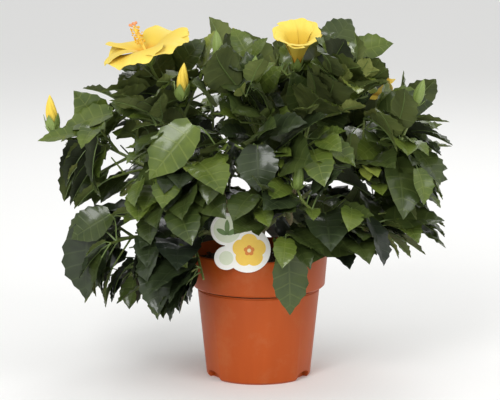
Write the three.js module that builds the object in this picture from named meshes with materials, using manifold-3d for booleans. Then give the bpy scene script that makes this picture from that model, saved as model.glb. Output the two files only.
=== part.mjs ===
// Potted hibiscus: a bushy young shrub of three rooted cuttings in a round plastic nursery pot.
// Millimetres, +Z up. The origin is the centre of the pot's flat underside, and -Y is the front.
import * as THREE from 'three';
import { mergeVertices } from 'three/addons/utils/BufferGeometryUtils.js';
import Module from 'manifold-3d';

const wasm = await Module();
wasm.setup();

// Driving dimensions of the pot and what fills it
const GAP = 0.3;
const POT_RIM_RADIUS = 65;
const POT_HEIGHT = 119;
const POT_BASE_RADIUS = 49;
const POT_WALL = 1.8;
const COLLAR_HEIGHT = 32;
const COLLAR_FOOT_RADIUS = 62.4;
const COLLAR_STEP = 5;
const SHOULDER_HEIGHT = 4;
const FLOOR_THICKNESS = 2.4;
const NOTCH_WIDTH = 22;
const NOTCH_HEIGHT = 8;
const NOTCH_DEPTH = 7;
const NOTCH_BEARINGS = [-150, -30, 90];
const POT_SIDES = 30;
const SOIL_SIDES = 24;
const SOIL_TOP = 106;

// Driving dimensions of the label that hooks over the rim
const LABEL_THICKNESS = 0.9;
const LABEL_DISCS = [
  { x: -10, z: 131, radius: 21 },
  { x: -28.5, z: 150, radius: 15 },
  { x: -29.3, z: 123.5, radius: 11 },
];
const LABEL_TONGUE_X = -14;
const LABEL_TONGUE_WIDTH = 9;
const VIEW_OF_LABEL = 60;
const VIEW_OF_POT = 55;

// Driving dimensions of the woody limbs
const STEM_FOOT_RADIUS = 4.6;
const STEM_TIP_RADIUS = 2.6;
const STEM_FLARE = 0.45;
const BOUGH_ROOT_RADIUS = 2.3;
const BOUGH_TIP_RADIUS = 1.5;
const LEAD_ROOT_RADIUS = 2;
const TWIG_ROOT_RADIUS = 0.9;
const TWIG_RADIUS = 1.6;
const TWIG_TIP_RADIUS = 1.3;
const BOUGH_SHARE = 0.42;

// Driving dimensions of the leaves and of the crown that they fill
const LEAF_LENGTH = 70;
const LEAF_WIDTH_SHARE = 0.68;
const LEAF_THICKNESS_SHARE = 0.012;
const LEAF_FOLD = 0.24;
const LEAF_CURL = 0.55;
const LEAF_SPACING = 12.5;
const LEAF_TURN = 1.4;
const PETIOLE_LENGTH = 19;
const PETIOLE_ROOT_RADIUS = 0.42;
const PETIOLE_RADIUS = 0.75;
const SIDE_TWIGS = 6;
const SIDE_TWIG_LENGTH = 62;
const SPIRAL_ANGLE = 137.5;
const CROWN_TOP = 331;
const CROWN_WIDEST_HEIGHT = 225;
const CROWN_HALF_WIDTH = 186;
const CROWN_HALF_DEPTH = 158;
const CROWN_FOOT = 68;
const CROWN_FOOT_RIGHT = 120;
const FOOT_TURN = 70;

// Windows of sky through the crown, seen from the front: centre and half size across and upwards
const SKY_WINDOWS = [
  { x: -130, z: 206, halfWidth: 11, halfHeight: 20 },
  { x: -122, z: 128, halfWidth: 9, halfHeight: 22 },
  { x: -64, z: 252, halfWidth: 5, halfHeight: 6 },
  { x: -14, z: 247, halfWidth: 4, halfHeight: 5 },
];

// Three cuttings: where each stands in the soil and where its stem forks
const STEMS = {
  left: { foot: [-23, -7], fork: [-34, -10, 176] },
  right: { foot: [24, -10], fork: [33, -16, 180] },
  back: { foot: [2, 25], fork: [3, 36, 182] },
};

// One bough and one mass of foliage a row: the cutting, how far up its stem the bough leaves, and the
// bearing (degrees from +X, the front is -90), distance from the pot's axis and height of the mass's tip.
// The seed is the number that a mass's chances start from
const MASSES = [
  { name: 'left_low', stem: 'left', leaves: 0.3, bearing: 187, spread: 134, height: 132, seed: 36 },
  { name: 'front_left_low', stem: 'left', leaves: 0.42, bearing: 216, spread: 112, height: 124, seed: 2 },
  { name: 'front_right_low', stem: 'right', leaves: 0.3, bearing: 302, spread: 104, height: 152, seed: 39 },
  { name: 'right_low', stem: 'right', leaves: 0.42, bearing: 355, spread: 122, height: 158, seed: 153 },
  { name: 'back_right_low', stem: 'back', leaves: 0.3, bearing: 56, spread: 116, height: 150, seed: 141 },
  { name: 'back_left_low', stem: 'back', leaves: 0.42, bearing: 124, spread: 120, height: 128, seed: 25 },
  { name: 'left', stem: 'left', leaves: 0.72, bearing: 181, spread: 160, height: 226, seed: 115 },
  { name: 'front_left', stem: 'left', leaves: 0.86, bearing: 237, spread: 114, height: 214, seed: 174 },
  { name: 'front', stem: 'right', leaves: 0.6, bearing: 276, spread: 106, height: 222, seed: 134 },
  { name: 'right', stem: 'right', leaves: 0.78, bearing: 346, spread: 138, height: 228, seed: 61 },
  { name: 'back_right', stem: 'back', leaves: 0.62, bearing: 52, spread: 126, height: 216, seed: 200 },
  { name: 'back_left', stem: 'back', leaves: 0.78, bearing: 126, spread: 126, height: 218, seed: 103 },
  { name: 'top_left', stem: 'left', leaves: 1, bearing: 194, spread: 98, height: 286, seed: 163 },
  { name: 'top_front', stem: 'right', leaves: 0.92, bearing: 248, spread: 54, height: 288, seed: 108 },
  { name: 'top_right', stem: 'right', leaves: 1, bearing: 338, spread: 66, height: 292, seed: 54 },
  { name: 'top_back', stem: 'back', leaves: 1, bearing: 88, spread: 80, height: 272, seed: 172 },
];

// Driving dimensions of the blossom
const PETAL_LENGTH = 44;
const PETAL_WIDTH = 42;
const PETAL_RISE = 26;
const TRUMPET_RADIUS = 22;
const TRUMPET_LENGTH = 36;
const COLUMN_LENGTH = 36;

// Open flowers, a half-open trumpet and buds: the foot of the green cup, and the way that it looks
const BLOSSOMS = [
  { mass: 'top_left', kind: 'flower', at: [-99, -30, 296], facing: [-0.22, -0.38, 0.9] },
  { mass: 'top_right', kind: 'trumpet', at: [35, -32, 292], facing: [0.05, -0.37, 0.93] },
  { mass: 'back_right', kind: 'flower', at: [92, 118, 244], facing: [0.25, 0.6, 0.75] },
  { mass: 'left', kind: 'yellow_bud', at: [-190, -14, 232], facing: [-0.08, 0, 1] },
  { mass: 'top_left', kind: 'yellow_bud', at: [-70, -62, 268], facing: [0.1, -0.2, 1] },
  { mass: 'top_front', kind: 'green_bud', at: [-5, -62, 284], facing: [0.1, -0.25, 1] },
  { mass: 'top_front', kind: 'green_bud', at: [-36, -44, 304], facing: [-0.1, 0, 1] },
  { mass: 'front', kind: 'green_bud', at: [34, -118, 196], facing: [0.1, -0.3, 1] },
  { mass: 'top_back', kind: 'yellow_bud', at: [-18, 92, 286], facing: [-0.2, 0.3, 1] },
  { mass: 'back_left', kind: 'green_bud', at: [-112, 96, 246], facing: [-0.3, 0.2, 1] },
  { mass: 'right', kind: 'green_bud', at: [142, -50, 262], facing: [0.3, -0.2, 1] },
];

// Leaves that stand out on the plant: base and tip of the blade, its width, and the way that it faces
const NAMED_LEAVES = [
  { mass: 'left', base: [-160, -44, 236], tip: [-203, -40, 230], width: 18, face: [0, -0.5, 1] },
  { mass: 'left', base: [-134, -34, 252], tip: [-184, -30, 238], width: 34, face: [-0.2, -0.6, 1] },
  { mass: 'left_low', base: [-157, -40, 150], tip: [-161, -44, 79], width: 46, face: [-0.2, -1, 0.1] },
  { mass: 'left_low', base: [-136, -44, 160], tip: [-173, -46, 138], width: 34, face: [-0.4, -1, 0.5] },
  { mass: 'front_left', base: [-58, -104, 250], tip: [-98, -114, 204], width: 42, face: [0, -0.9, 0.6] },
  { mass: 'front', base: [-1, -116, 234], tip: [0, -126, 194], width: 38, face: [0, -1, 0.35] },
  { mass: 'front_right_low', base: [27, -99, 138], tip: [29, -105, 78], width: 34, face: [0.15, -1, 0.1] },
  { mass: 'front_right_low', base: [45, -92, 150], tip: [86, -96, 134], width: 30, face: [0.2, -1, 0.5] },
];

const degrees = THREE.MathUtils.degToRad;
const vector = (x, y, z) => new THREE.Vector3(x, y, z);
const UP = vector(0, 0, 1);

// A repeatable stream of numbers from 0 to 1
function seeded(seed) {
  let state = seed >>> 0;
  return () => {
    state = (state + 0x6d2b79f5) >>> 0;
    let mixed = state;
    mixed = Math.imul(mixed ^ (mixed >>> 15), mixed | 1);
    mixed ^= mixed + Math.imul(mixed ^ (mixed >>> 7), mixed | 61);
    return ((mixed ^ (mixed >>> 14)) >>> 0) / 4294967296;
  };
}

// Closed three.js geometry to solid and back
function solid(geometry) {
  const bare = geometry.clone();
  bare.deleteAttribute('normal');
  bare.deleteAttribute('uv');
  const merged = mergeVertices(bare, 1e-4);
  const vertProperties = new Float32Array(merged.attributes.position.array);
  const triVerts = new Uint32Array(merged.index.array);
  return new wasm.Manifold(new wasm.Mesh({ numProp: 3, vertProperties, triVerts }));
}

function geometryOf(body) {
  const mesh = body.getMesh();
  const geometry = new THREE.BufferGeometry();
  geometry.setAttribute('position', new THREE.BufferAttribute(mesh.vertProperties.slice(), 3));
  geometry.setIndex(new THREE.BufferAttribute(mesh.triVerts.slice(), 1));
  return geometry;
}

const fuse = (bodies) => bodies.reduce((sum, body) => sum.add(body));

// The largest shell alone: scraps that hang loose go, and hollows that fusing sealed are filled
function largestPiece(body) {
  const pieces = body.decompose();
  return pieces.reduce((best, piece) => (piece.volume() > best.volume() ? piece : best));
}

// A smooth limb from start towards end, leaving along one direction and arriving along another
function limbCurve(start, leaving, end, arriving) {
  const reach = start.distanceTo(end) / 3;
  const first = start.clone().addScaledVector(leaving, reach);
  const second = end.clone().addScaledVector(arriving, -reach);
  return new THREE.CubicBezierCurve3(start, first, second, end);
}

// Part of a vector that is square to a direction, made a unit vector
function squareTo(direction, wanted) {
  return wanted.clone().addScaledVector(direction, -wanted.dot(direction)).normalize();
}

// A closed bar along a curve in straight steps, with its radius a function of the way along it
function bar(curve, radiusAt, sides, steps) {
  const geometry = new THREE.CylinderGeometry(1, 1, 1, sides, steps);
  const position = geometry.attributes.position;
  const stations = [];
  let across = around(curve.getTangent(0), 0);
  for (let step = 0; step <= steps; step += 1) {
    const along = curve.getTangent(step / steps);
    across = squareTo(along, across);
    stations.push({ place: curve.getPoint(step / steps), across, other: across.clone().cross(along) });
  }
  for (let i = 0; i < position.count; i += 1) {
    const step = Math.round((position.getY(i) + 0.5) * steps);
    const radius = radiusAt(step / steps);
    const point = stations[step].place.clone();
    point.addScaledVector(stations[step].across, position.getX(i) * radius);
    point.addScaledVector(stations[step].other, position.getZ(i) * radius);
    position.setXYZ(i, point.x, point.y, point.z);
  }
  return solid(geometry);
}

// A twig as the straight steps that its bar has: a place and a direction at a share of the way along
function twigPlace({ curve, steps }, share) {
  const step = Math.min(Math.floor(share * steps), steps - 1);
  const from = curve.getPoint(step / steps);
  const to = curve.getPoint((step + 1) / steps);
  const along = to.clone().sub(from).normalize();
  return { node: from.lerp(to, share * steps - step), along };
}

// A turned shape on its own axis, stood at a place and pointing along a direction
function turned(profile, sides, place, direction) {
  const geometry = new THREE.LatheGeometry(profile.map(([r, y]) => new THREE.Vector2(r, y)), sides);
  geometry.applyQuaternion(new THREE.Quaternion().setFromUnitVectors(vector(0, 1, 0), direction));
  geometry.translate(place.x, place.y, place.z);
  return solid(geometry);
}

// The unit vector square to an axis, at an angle round it
function around(axis, angle) {
  const reference = Math.abs(axis.z) < 0.9 ? UP : vector(1, 0, 0);
  const across = axis.clone().cross(reference).normalize();
  const other = axis.clone().cross(across);
  return across.multiplyScalar(Math.cos(angle)).addScaledVector(other, Math.sin(angle));
}

// A thin blade on a stalk: sections run from its base to its end, as shares of its length and width
const LEAF_SECTIONS = [[0.38, 0.5], [1, 0]];
const PETAL_SECTIONS = [[0.68, 0.5], [1, 0.34]];

function bladePoints(blade) {
  const { root, base, direction, normal, length, width, curl, fold, thickness, stalk } = blade;
  const side = direction.clone().cross(normal).normalize();
  const stalkRing = (centre, radius) => [
    centre.clone().addScaledVector(normal, radius),
    centre.clone().addScaledVector(side, radius).addScaledVector(normal, -radius / 2),
    centre.clone().addScaledVector(side, -radius).addScaledVector(normal, -radius / 2),
  ];
  const rings = [stalkRing(root, PETIOLE_ROOT_RADIUS), stalkRing(base, stalk)];
  for (const [along, halfWidth] of blade.sections) {
    const angle = curl * along;
    const top = base.clone();
    top.addScaledVector(direction, (length * Math.sin(angle)) / curl);
    top.addScaledVector(normal, (-length * (1 - Math.cos(angle))) / curl);
    const up = normal.clone().multiplyScalar(Math.cos(angle)).addScaledVector(direction, Math.sin(angle));
    if (halfWidth === 0) {
      rings.push([top.addScaledVector(up, -thickness / 2)]);
      continue;
    }
    const reach = halfWidth * width;
    const edge = (sign) => top.clone()
      .addScaledVector(side, sign * reach * Math.cos(fold))
      .addScaledVector(up, reach * Math.sin(fold) - thickness / 2);
    rings.push([top, edge(1), top.clone().addScaledVector(up, -thickness), edge(-1)]);
  }
  return rings;
}

function bladeSolid(blade) {
  const rings = bladePoints(blade);
  const firsts = [];
  const points = [];
  for (const ring of rings) {
    firsts.push(points.length);
    points.push(...ring);
  }
  const faces = [[0, 2, 1]];
  const band = (a, na, b, nb) => {
    for (let i = 0; i < na; i += 1) {
      const j = (i + 1) % na;
      faces.push([a + i, a + j, b + (j % nb)], [a + i, b + (j % nb), b + (i % nb)]);
    }
  };
  for (let k = 1; k < rings.length; k += 1) {
    const [a, b] = [firsts[k - 1], firsts[k]];
    const [na, nb] = [rings[k - 1].length, rings[k].length];
    if (na === nb) {
      band(a, na, b, nb);
    } else if (nb === 4) {
      faces.push([a, a + 1, b + 1], [a, b + 1, b], [a + 1, b + 2, b + 1], [a + 1, a + 2, b + 2]);
      faces.push([a + 2, b + 3, b + 2], [a + 2, a, b], [a + 2, b, b + 3]);
    } else {
      for (let i = 0; i < na; i += 1) {
        faces.push([a + i, a + ((i + 1) % na), b]);
      }
    }
  }
  if (rings.at(-1).length === 4) {
    const end = firsts.at(-1);
    faces.push([end, end + 1, end + 2], [end, end + 2, end + 3]);
  }
  const geometry = new THREE.BufferGeometry().setFromPoints(points);
  geometry.setIndex(faces.flat());
  return solid(geometry);
}

// Pot: a thin shell with a stepped collar and three arched drain notches round its foot
function potProfile(inset) {
  const shoulderTop = POT_HEIGHT - COLLAR_HEIGHT;
  const wallTopRadius = COLLAR_FOOT_RADIUS - COLLAR_STEP;
  return [
    [POT_BASE_RADIUS - 2, 0],
    [POT_BASE_RADIUS, 2],
    [wallTopRadius, shoulderTop - SHOULDER_HEIGHT],
    [COLLAR_FOOT_RADIUS - 1.2, shoulderTop - 1.2],
    [COLLAR_FOOT_RADIUS, shoulderTop],
    [POT_RIM_RADIUS, POT_HEIGHT - 1],
  ].map(([radius, height]) => [radius - inset, height]);
}

function upright(profile, sides) {
  return turned(profile, sides, vector(0, 0, 0), UP);
}

function potInside(inset, floor, top) {
  const wallTop = potProfile(inset).slice(2, 5);
  const footRadius = POT_BASE_RADIUS + 0.4 - inset;
  const rim = POT_RIM_RADIUS - inset;
  return [[0, floor], [footRadius, floor], ...wallTop, [rim, POT_HEIGHT - 1], [rim, top], [0, top]];
}

function notch(bearing, grow) {
  const half = NOTCH_WIDTH / 2 + grow;
  const spring = NOTCH_HEIGHT * 0.35;
  const arch = new THREE.Shape();
  arch.moveTo(-half, -5);
  arch.lineTo(half, -5);
  arch.lineTo(half, spring);
  arch.absellipse(0, spring, half, NOTCH_HEIGHT - spring + grow, 0, Math.PI, false);
  arch.closePath();
  const length = NOTCH_DEPTH + 10 + grow;
  const block = new THREE.ExtrudeGeometry(arch, { depth: length, bevelEnabled: false, curveSegments: 4 });
  block.rotateX(Math.PI / 2);
  block.rotateZ(Math.PI / 2);
  block.translate(POT_BASE_RADIUS - NOTCH_DEPTH - grow, 0, 0);
  block.rotateZ(degrees(bearing));
  return solid(block);
}

function pot() {
  const lip = [POT_RIM_RADIUS - 0.6, POT_HEIGHT];
  const outer = upright([[0, 0], ...potProfile(0), lip, [0, POT_HEIGHT]], POT_SIDES);
  const inside = upright(potInside(POT_WALL, FLOOR_THICKNESS, POT_HEIGHT + 5), POT_SIDES);
  const notches = fuse(NOTCH_BEARINGS.map((bearing) => notch(bearing, 0)));
  const linings = fuse(NOTCH_BEARINGS.map((bearing) => notch(bearing, POT_WALL)));
  return outer.subtract(notches).subtract(inside.subtract(linings));
}

// Potting soil: fills the shell from its floor, stepped in over the notches, to a flat top
function soil() {
  const inset = POT_WALL + 2 * GAP;
  const overNotches = NOTCH_HEIGHT + POT_WALL + GAP;
  const core = POT_BASE_RADIUS - NOTCH_DEPTH - inset;
  const [, , [wallTop, shoulder], [, step], [collarFoot]] = potProfile(inset);
  const slope = (wallTop - POT_BASE_RADIUS + inset) / shoulder;
  const topRadius = collarFoot + 0.6;
  return upright([
    [0, FLOOR_THICKNESS + GAP],
    [core, FLOOR_THICKNESS + GAP],
    [core, overNotches],
    [POT_BASE_RADIUS - inset + slope * overNotches, overNotches],
    [wallTop, shoulder],
    [collarFoot - 1.2, step],
    [topRadius, SOIL_TOP],
    [0, SOIL_TOP],
  ], SOIL_SIDES);
}

// Label: a card of three overlapping discs whose tongue hooks over the rim
function label() {
  const front = -(POT_RIM_RADIUS + GAP + LABEL_THICKNESS);
  const discs = LABEL_DISCS.map(({ x, z, radius }) => {
    const disc = new THREE.CylinderGeometry(radius, radius, LABEL_THICKNESS, 16);
    disc.translate(x, front + LABEL_THICKNESS / 2, z);
    return solid(disc);
  });
  const bridgeDepth = POT_WALL + 2 * LABEL_THICKNESS + 6;
  const bridge = new THREE.BoxGeometry(LABEL_TONGUE_WIDTH, bridgeDepth, LABEL_THICKNESS);
  bridge.translate(LABEL_TONGUE_X, front + bridgeDepth / 2, POT_HEIGHT + GAP + LABEL_THICKNESS / 2);
  const tongueFoot = SOIL_TOP + GAP;
  const tongueHeight = POT_HEIGHT + GAP + LABEL_THICKNESS - tongueFoot;
  const tongue = new THREE.BoxGeometry(LABEL_TONGUE_WIDTH, LABEL_THICKNESS, tongueHeight);
  const tongueY = front + bridgeDepth - LABEL_THICKNESS / 2;
  tongue.translate(LABEL_TONGUE_X, tongueY, tongueFoot + tongueHeight / 2);
  return fuse([...discs, solid(bridge), solid(tongue)]);
}

// Stems: upright cuttings with a flared foot on the soil
function stemCurve({ foot, fork }) {
  const start = vector(foot[0], foot[1], SOIL_TOP + GAP);
  const end = vector(...fork);
  const lean = end.clone().sub(start).normalize();
  return limbCurve(start, UP, end, lean);
}

function stemRadius(share) {
  const taper = THREE.MathUtils.lerp(STEM_FOOT_RADIUS, STEM_TIP_RADIUS, share);
  return taper * (1 + STEM_FLARE * Math.exp(-share * 12));
}

const stemCurves = Object.fromEntries(Object.entries(STEMS).map(([name, row]) => [name, stemCurve(row)]));

// Boughs: each arches from its stem half-way to the tip of the mass that it carries
function massTip({ bearing, spread, height }) {
  return vector(spread * Math.cos(degrees(bearing)), spread * Math.sin(degrees(bearing)), height);
}

function planMass(row) {
  const stem = stemCurves[row.stem];
  const tip = massTip(row);
  const inLine = row.leaves === 1;
  const fork = stem.getPoint(row.leaves);
  const stemWay = stem.getTangent(row.leaves);
  const leaving = tip.clone().sub(fork).setZ(0).normalize().multiplyScalar(inLine ? 0.35 : 1);
  leaving.addScaledVector(UP, inLine ? 1 : 0.75).normalize();
  const start = inLine ? fork.clone().addScaledVector(stemWay, GAP) : fork;
  const whole = limbCurve(start, inLine ? stemWay : leaving, tip, tip.clone().sub(start).normalize());
  const end = whole.getPoint(BOUGH_SHARE);
  const arriving = whole.getTangent(BOUGH_SHARE);
  const bough = limbCurve(start, inLine ? stemWay : leaving, end, arriving);
  const entry = end.clone().addScaledVector(arriving, GAP);
  const settle = tip.clone().sub(entry).normalize();
  const lead = limbCurve(entry, arriving, tip, settle);
  const centre = entry.clone().lerp(tip, 0.55);
  return { ...row, tip, inLine, bough, lead, centre };
}

const plans = MASSES.map(planMass);

function boughRadius(plan) {
  const root = plan.inLine ? STEM_TIP_RADIUS : BOUGH_ROOT_RADIUS;
  return (share) => THREE.MathUtils.lerp(root, BOUGH_TIP_RADIUS, share);
}

function stemSolid(name, grow) {
  return bar(stemCurves[name], (share) => stemRadius(share) + grow, 8, 5);
}

function boughSolid(plan) {
  const whole = bar(plan.bough, boughRadius(plan), 6, 4);
  return plan.inLine ? whole : largestPiece(whole.subtract(stemSolid(plan.stem, GAP)));
}

// Points down the middle of every limb, with the room that each one takes
function limbBeads() {
  const beads = [];
  const thread = (curve, radiusAt) => {
    const count = Math.ceil(curve.getLength() / 3);
    for (let i = 0; i <= count; i += 1) {
      beads.push({ place: curve.getPoint(i / count), radius: radiusAt(i / count) });
    }
  };
  Object.values(stemCurves).forEach((curve) => thread(curve, stemRadius));
  plans.forEach((plan) => thread(plan.bough, boughRadius(plan)));
  return beads;
}

const beads = limbBeads();
const CELL_MARGIN = 0.4;
const LIMB_MARGIN = 1.6;
const POT_MARGIN = 1.6;

// The room that each kind of blossom takes: from and to along its axis, and its radius there
const BLOSSOM_ROOM = {
  flower: (along) => (along > -2 && along < 30 ? 46 : 0),
  trumpet: (along) => (along > -4 && along < 46 ? 8 + Math.max(0, along - 8) * 0.55 : 0),
  yellow_bud: (along) => (along > -6 && along < 36 ? 7.5 : 0),
  green_bud: (along) => (along > -6 && along < 26 ? 7 : 0),
};

const blossoms = BLOSSOMS.map((row) => (
  { ...row, place: vector(...row.at), axis: vector(...row.facing).normalize() }));

function clearOfBlossom(point) {
  return blossoms.every(({ kind, place: foot, axis }) => {
    const offset = point.clone().sub(foot);
    const along = offset.dot(axis);
    return offset.addScaledVector(axis, -along).length() > BLOSSOM_ROOM[kind](along);
  });
}

// A mass keeps to the space that is nearer to its own centre than to any other mass's centre
function inOwnSpace(point, plan) {
  return plans.every((other) => {
    if (other === plan) {
      return true;
    }
    const near = point.distanceToSquared(plan.centre);
    const far = point.distanceToSquared(other.centre);
    return (far - near) / (2 * plan.centre.distanceTo(other.centre)) > CELL_MARGIN;
  });
}

function inCrown(point, stretch) {
  const rise = Math.max(0, (point.z - CROWN_WIDEST_HEIGHT) / (CROWN_TOP + 12 - CROWN_WIDEST_HEIGHT));
  const shrink = Math.sqrt(Math.max(0.02, 1 - 0.72 * rise * rise)) * stretch;
  const out = Math.hypot(point.x / (CROWN_HALF_WIDTH * shrink), point.y / (CROWN_HALF_DEPTH * shrink));
  const turn = THREE.MathUtils.smoothstep(point.x, -FOOT_TURN, FOOT_TURN);
  const foot = THREE.MathUtils.lerp(CROWN_FOOT, CROWN_FOOT_RIGHT, turn);
  return out < 1 && point.z < CROWN_TOP && point.z > foot;
}

function clearOfWindows(point) {
  const beforePot = point.y < 0 && point.z < POT_HEIGHT && Math.abs(point.x) < VIEW_OF_POT;
  return !beforePot && SKY_WINDOWS.every(({ x, z, halfWidth, halfHeight }) => (
    Math.hypot((point.x - x) / halfWidth, (point.z - z) / halfHeight) > 1));
}

function clearOfPot(point) {
  const aboveRim = point.z > POT_HEIGHT + POT_MARGIN;
  const outsideRim = Math.hypot(point.x, point.y) > POT_RIM_RADIUS + POT_MARGIN;
  return aboveRim || outsideRim;
}

function clearOfLabel(point) {
  const nearCard = point.y < -(POT_RIM_RADIUS - 8) && point.y > -(POT_RIM_RADIUS + VIEW_OF_LABEL);
  return !nearCard || LABEL_DISCS.every(({ x, z, radius }) => Math.hypot(point.x - x, point.z - z) > radius);
}

function clearOfLimbs(triangles, points) {
  const box = new THREE.Box3().setFromPoints(points).expandByScalar(8);
  const nearest = vector(0, 0, 0);
  const close = beads.filter((bead) => box.containsPoint(bead.place));
  return close.every((bead) => triangles.every((triangle) => {
    triangle.closestPointToPoint(bead.place, nearest);
    return nearest.distanceTo(bead.place) > bead.radius + LIMB_MARGIN;
  }));
}

// A leaf's outline and middle, as points a few millimetres apart, its edges and its upper faces
function leafTest(leaf) {
  const [, baseRing, wide, end] = bladePoints(leaf);
  const [base, middle, tip] = [baseRing[0], wide[0], end[0]];
  const [right, left] = [wide[1], wide[3]];
  const stalk = [leaf.root.clone().lerp(leaf.base, 0.35), base];
  const segments = [stalk, [base, middle], [middle, tip], [middle, right], [middle, left]];
  const triangles = [];
  for (const edge of [right, left]) {
    segments.push([base, edge], [edge, tip]);
    triangles.push(new THREE.Triangle(base, edge, middle), new THREE.Triangle(middle, edge, tip));
  }
  const points = segments.flatMap(([from, to]) => (
    [0.2, 0.4, 0.6, 0.8, 1].map((share) => from.clone().lerp(to, share))));
  return { points, triangles, segments };
}

// Whether a straight line between two points passes through a triangle
function crosses([from, to], triangle) {
  const way = to.clone().sub(from);
  const length = way.length();
  const ray = new THREE.Ray(from, way.normalize());
  const hit = ray.intersectTriangle(triangle.a, triangle.b, triangle.c, false, vector(0, 0, 0));
  return hit !== null && hit.distanceTo(from) <= length;
}

function anyCross(segments, triangles) {
  return segments.some((segment) => triangles.some((triangle) => crosses(segment, triangle)));
}

function leafFits(leaf, plan, grown) {
  const { points, triangles, segments } = leaf.test;
  const placed = points.every((point) => inOwnSpace(point, plan) && inCrown(point, leaf.stretch)
    && clearOfPot(point) && clearOfLabel(point) && clearOfWindows(point) && clearOfBlossom(point));
  if (!placed || !clearOfLimbs(triangles, points) || anyCross(grown.twigLines, triangles)) {
    return false;
  }
  return grown.leaves.every((other) => !anyCross(other.test.segments, triangles)
    && !anyCross(segments, other.test.triangles));
}

function twigFits(curve, plan) {
  const points = curve.getPoints(12);
  return points.every((point) => inOwnSpace(point, plan) && inCrown(point, 1) && clearOfPot(point)
    && clearOfLabel(point) && clearOfBlossom(point))
    && points.slice(1).every((point) => beads.every((bead) => (
      point.distanceTo(bead.place) > bead.radius + TWIG_TIP_RADIUS + LIMB_MARGIN)));
}

// Side twigs leave a mass's lead in a spiral, shorter towards its tip
function growTwigs(plan, random) {
  const lead = { curve: plan.lead, root: LEAD_ROOT_RADIUS, steps: 3 };
  const twigs = [lead];
  for (let k = 0; k < SIDE_TWIGS; k += 1) {
    const share = 0.1 + (0.78 * k) / SIDE_TWIGS;
    const { node: start, along } = twigPlace(lead, share);
    for (let attempt = 0; attempt < 4; attempt += 1) {
      const turn = degrees(SPIRAL_ANGLE * k + 60 * attempt + 30 * random());
      const out = around(along, turn);
      const leaving = along.clone().multiplyScalar(0.55).addScaledVector(out, 0.85).normalize();
      const length = SIDE_TWIG_LENGTH * (1 - 0.35 * share) * (0.8 + 0.35 * random()) * (1 - 0.12 * attempt);
      const end = start.clone().addScaledVector(leaving, length).addScaledVector(UP, -0.1 * length);
      const settle = end.clone().sub(start).normalize();
      const curve = limbCurve(start, leaving, end, settle);
      if (twigFits(curve, plan)) {
        twigs.push({ curve, root: TWIG_ROOT_RADIUS, steps: 2 });
        break;
      }
    }
  }
  return twigs;
}

// A leaf at a point of a twig: held out on its stalk, then hanging more the lower it grows
function planLeaf(node, along, beside, size, random) {
  const out = vector(node.x, node.y, 0).normalize();
  const height = THREE.MathUtils.clamp((node.z - CROWN_FOOT) / (CROWN_TOP - CROWN_FOOT), 0, 1);
  const lift = THREE.MathUtils.lerp(-0.95, 0.3, height) + 0.5 * (random() - 0.5);
  const direction = beside.clone().multiplyScalar(0.6 + 0.3 * random());
  direction.addScaledVector(out, 0.5).addScaledVector(along, 0.3).addScaledVector(UP, lift).normalize();
  const face = out.clone().multiplyScalar(0.7).addScaledVector(UP, 0.7).addScaledVector(beside, 0.3);
  face.addScaledVector(UP.clone().cross(out), LEAF_TURN * (random() - 0.5));
  const stalkWay = beside.clone().multiplyScalar(0.8).addScaledVector(along, 0.6);
  stalkWay.addScaledVector(direction, 0.5).normalize();
  const base = node.clone().addScaledVector(stalkWay, PETIOLE_LENGTH * (0.6 + 0.4 * size));
  return {
    root: node,
    base,
    direction,
    normal: squareTo(direction, face),
    length: LEAF_LENGTH * size,
    width: LEAF_LENGTH * LEAF_WIDTH_SHARE * size,
    curl: LEAF_CURL * (0.5 + random()),
    fold: LEAF_FOLD,
    thickness: LEAF_LENGTH * LEAF_THICKNESS_SHARE,
    stalk: PETIOLE_RADIUS,
    sections: LEAF_SECTIONS,
    stretch: 1,
  };
}

// The twig's point that is nearest to a place
function nearestOnTwigs(twigs, place) {
  const shares = [0.2, 0.35, 0.5, 0.65, 0.8, 0.95];
  const nodes = twigs.flatMap((twig) => shares.map((share) => twigPlace(twig, share)));
  return nodes.reduce((best, item) => (
    item.node.distanceTo(place) < best.node.distanceTo(place) ? item : best));
}

function namedLeaves(plan, twigs) {
  return NAMED_LEAVES.filter((row) => row.mass === plan.name).map((row) => {
    const base = vector(...row.base);
    const span = vector(...row.tip).sub(base);
    const direction = span.clone().normalize();
    const leaf = {
      root: nearestOnTwigs(twigs, base).node,
      base,
      direction,
      normal: squareTo(direction, vector(...row.face)),
      length: span.length(),
      width: row.width,
      curl: LEAF_CURL * 0.3,
      fold: LEAF_FOLD,
      thickness: LEAF_LENGTH * LEAF_THICKNESS_SHARE,
      stalk: PETIOLE_RADIUS,
      sections: LEAF_SECTIONS,
      stretch: 1.12,
    };
    leaf.test = leafTest(leaf);
    return leaf;
  });
}

const LEAF_CROWDING = 0.22;
const LEAF_ATTEMPTS = 8;
const LAST_LEAF = 0.97;

function bladeMiddle(blade) {
  return blade.base.clone().addScaledVector(blade.direction, blade.length * 0.45);
}

// Short straight lines along a twig, for the test whether a leaf would cross it
function twigLines({ curve, steps }) {
  const points = curve.getPoints(steps);
  return points.slice(1).map((point, i) => [points[i], point]);
}

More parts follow.
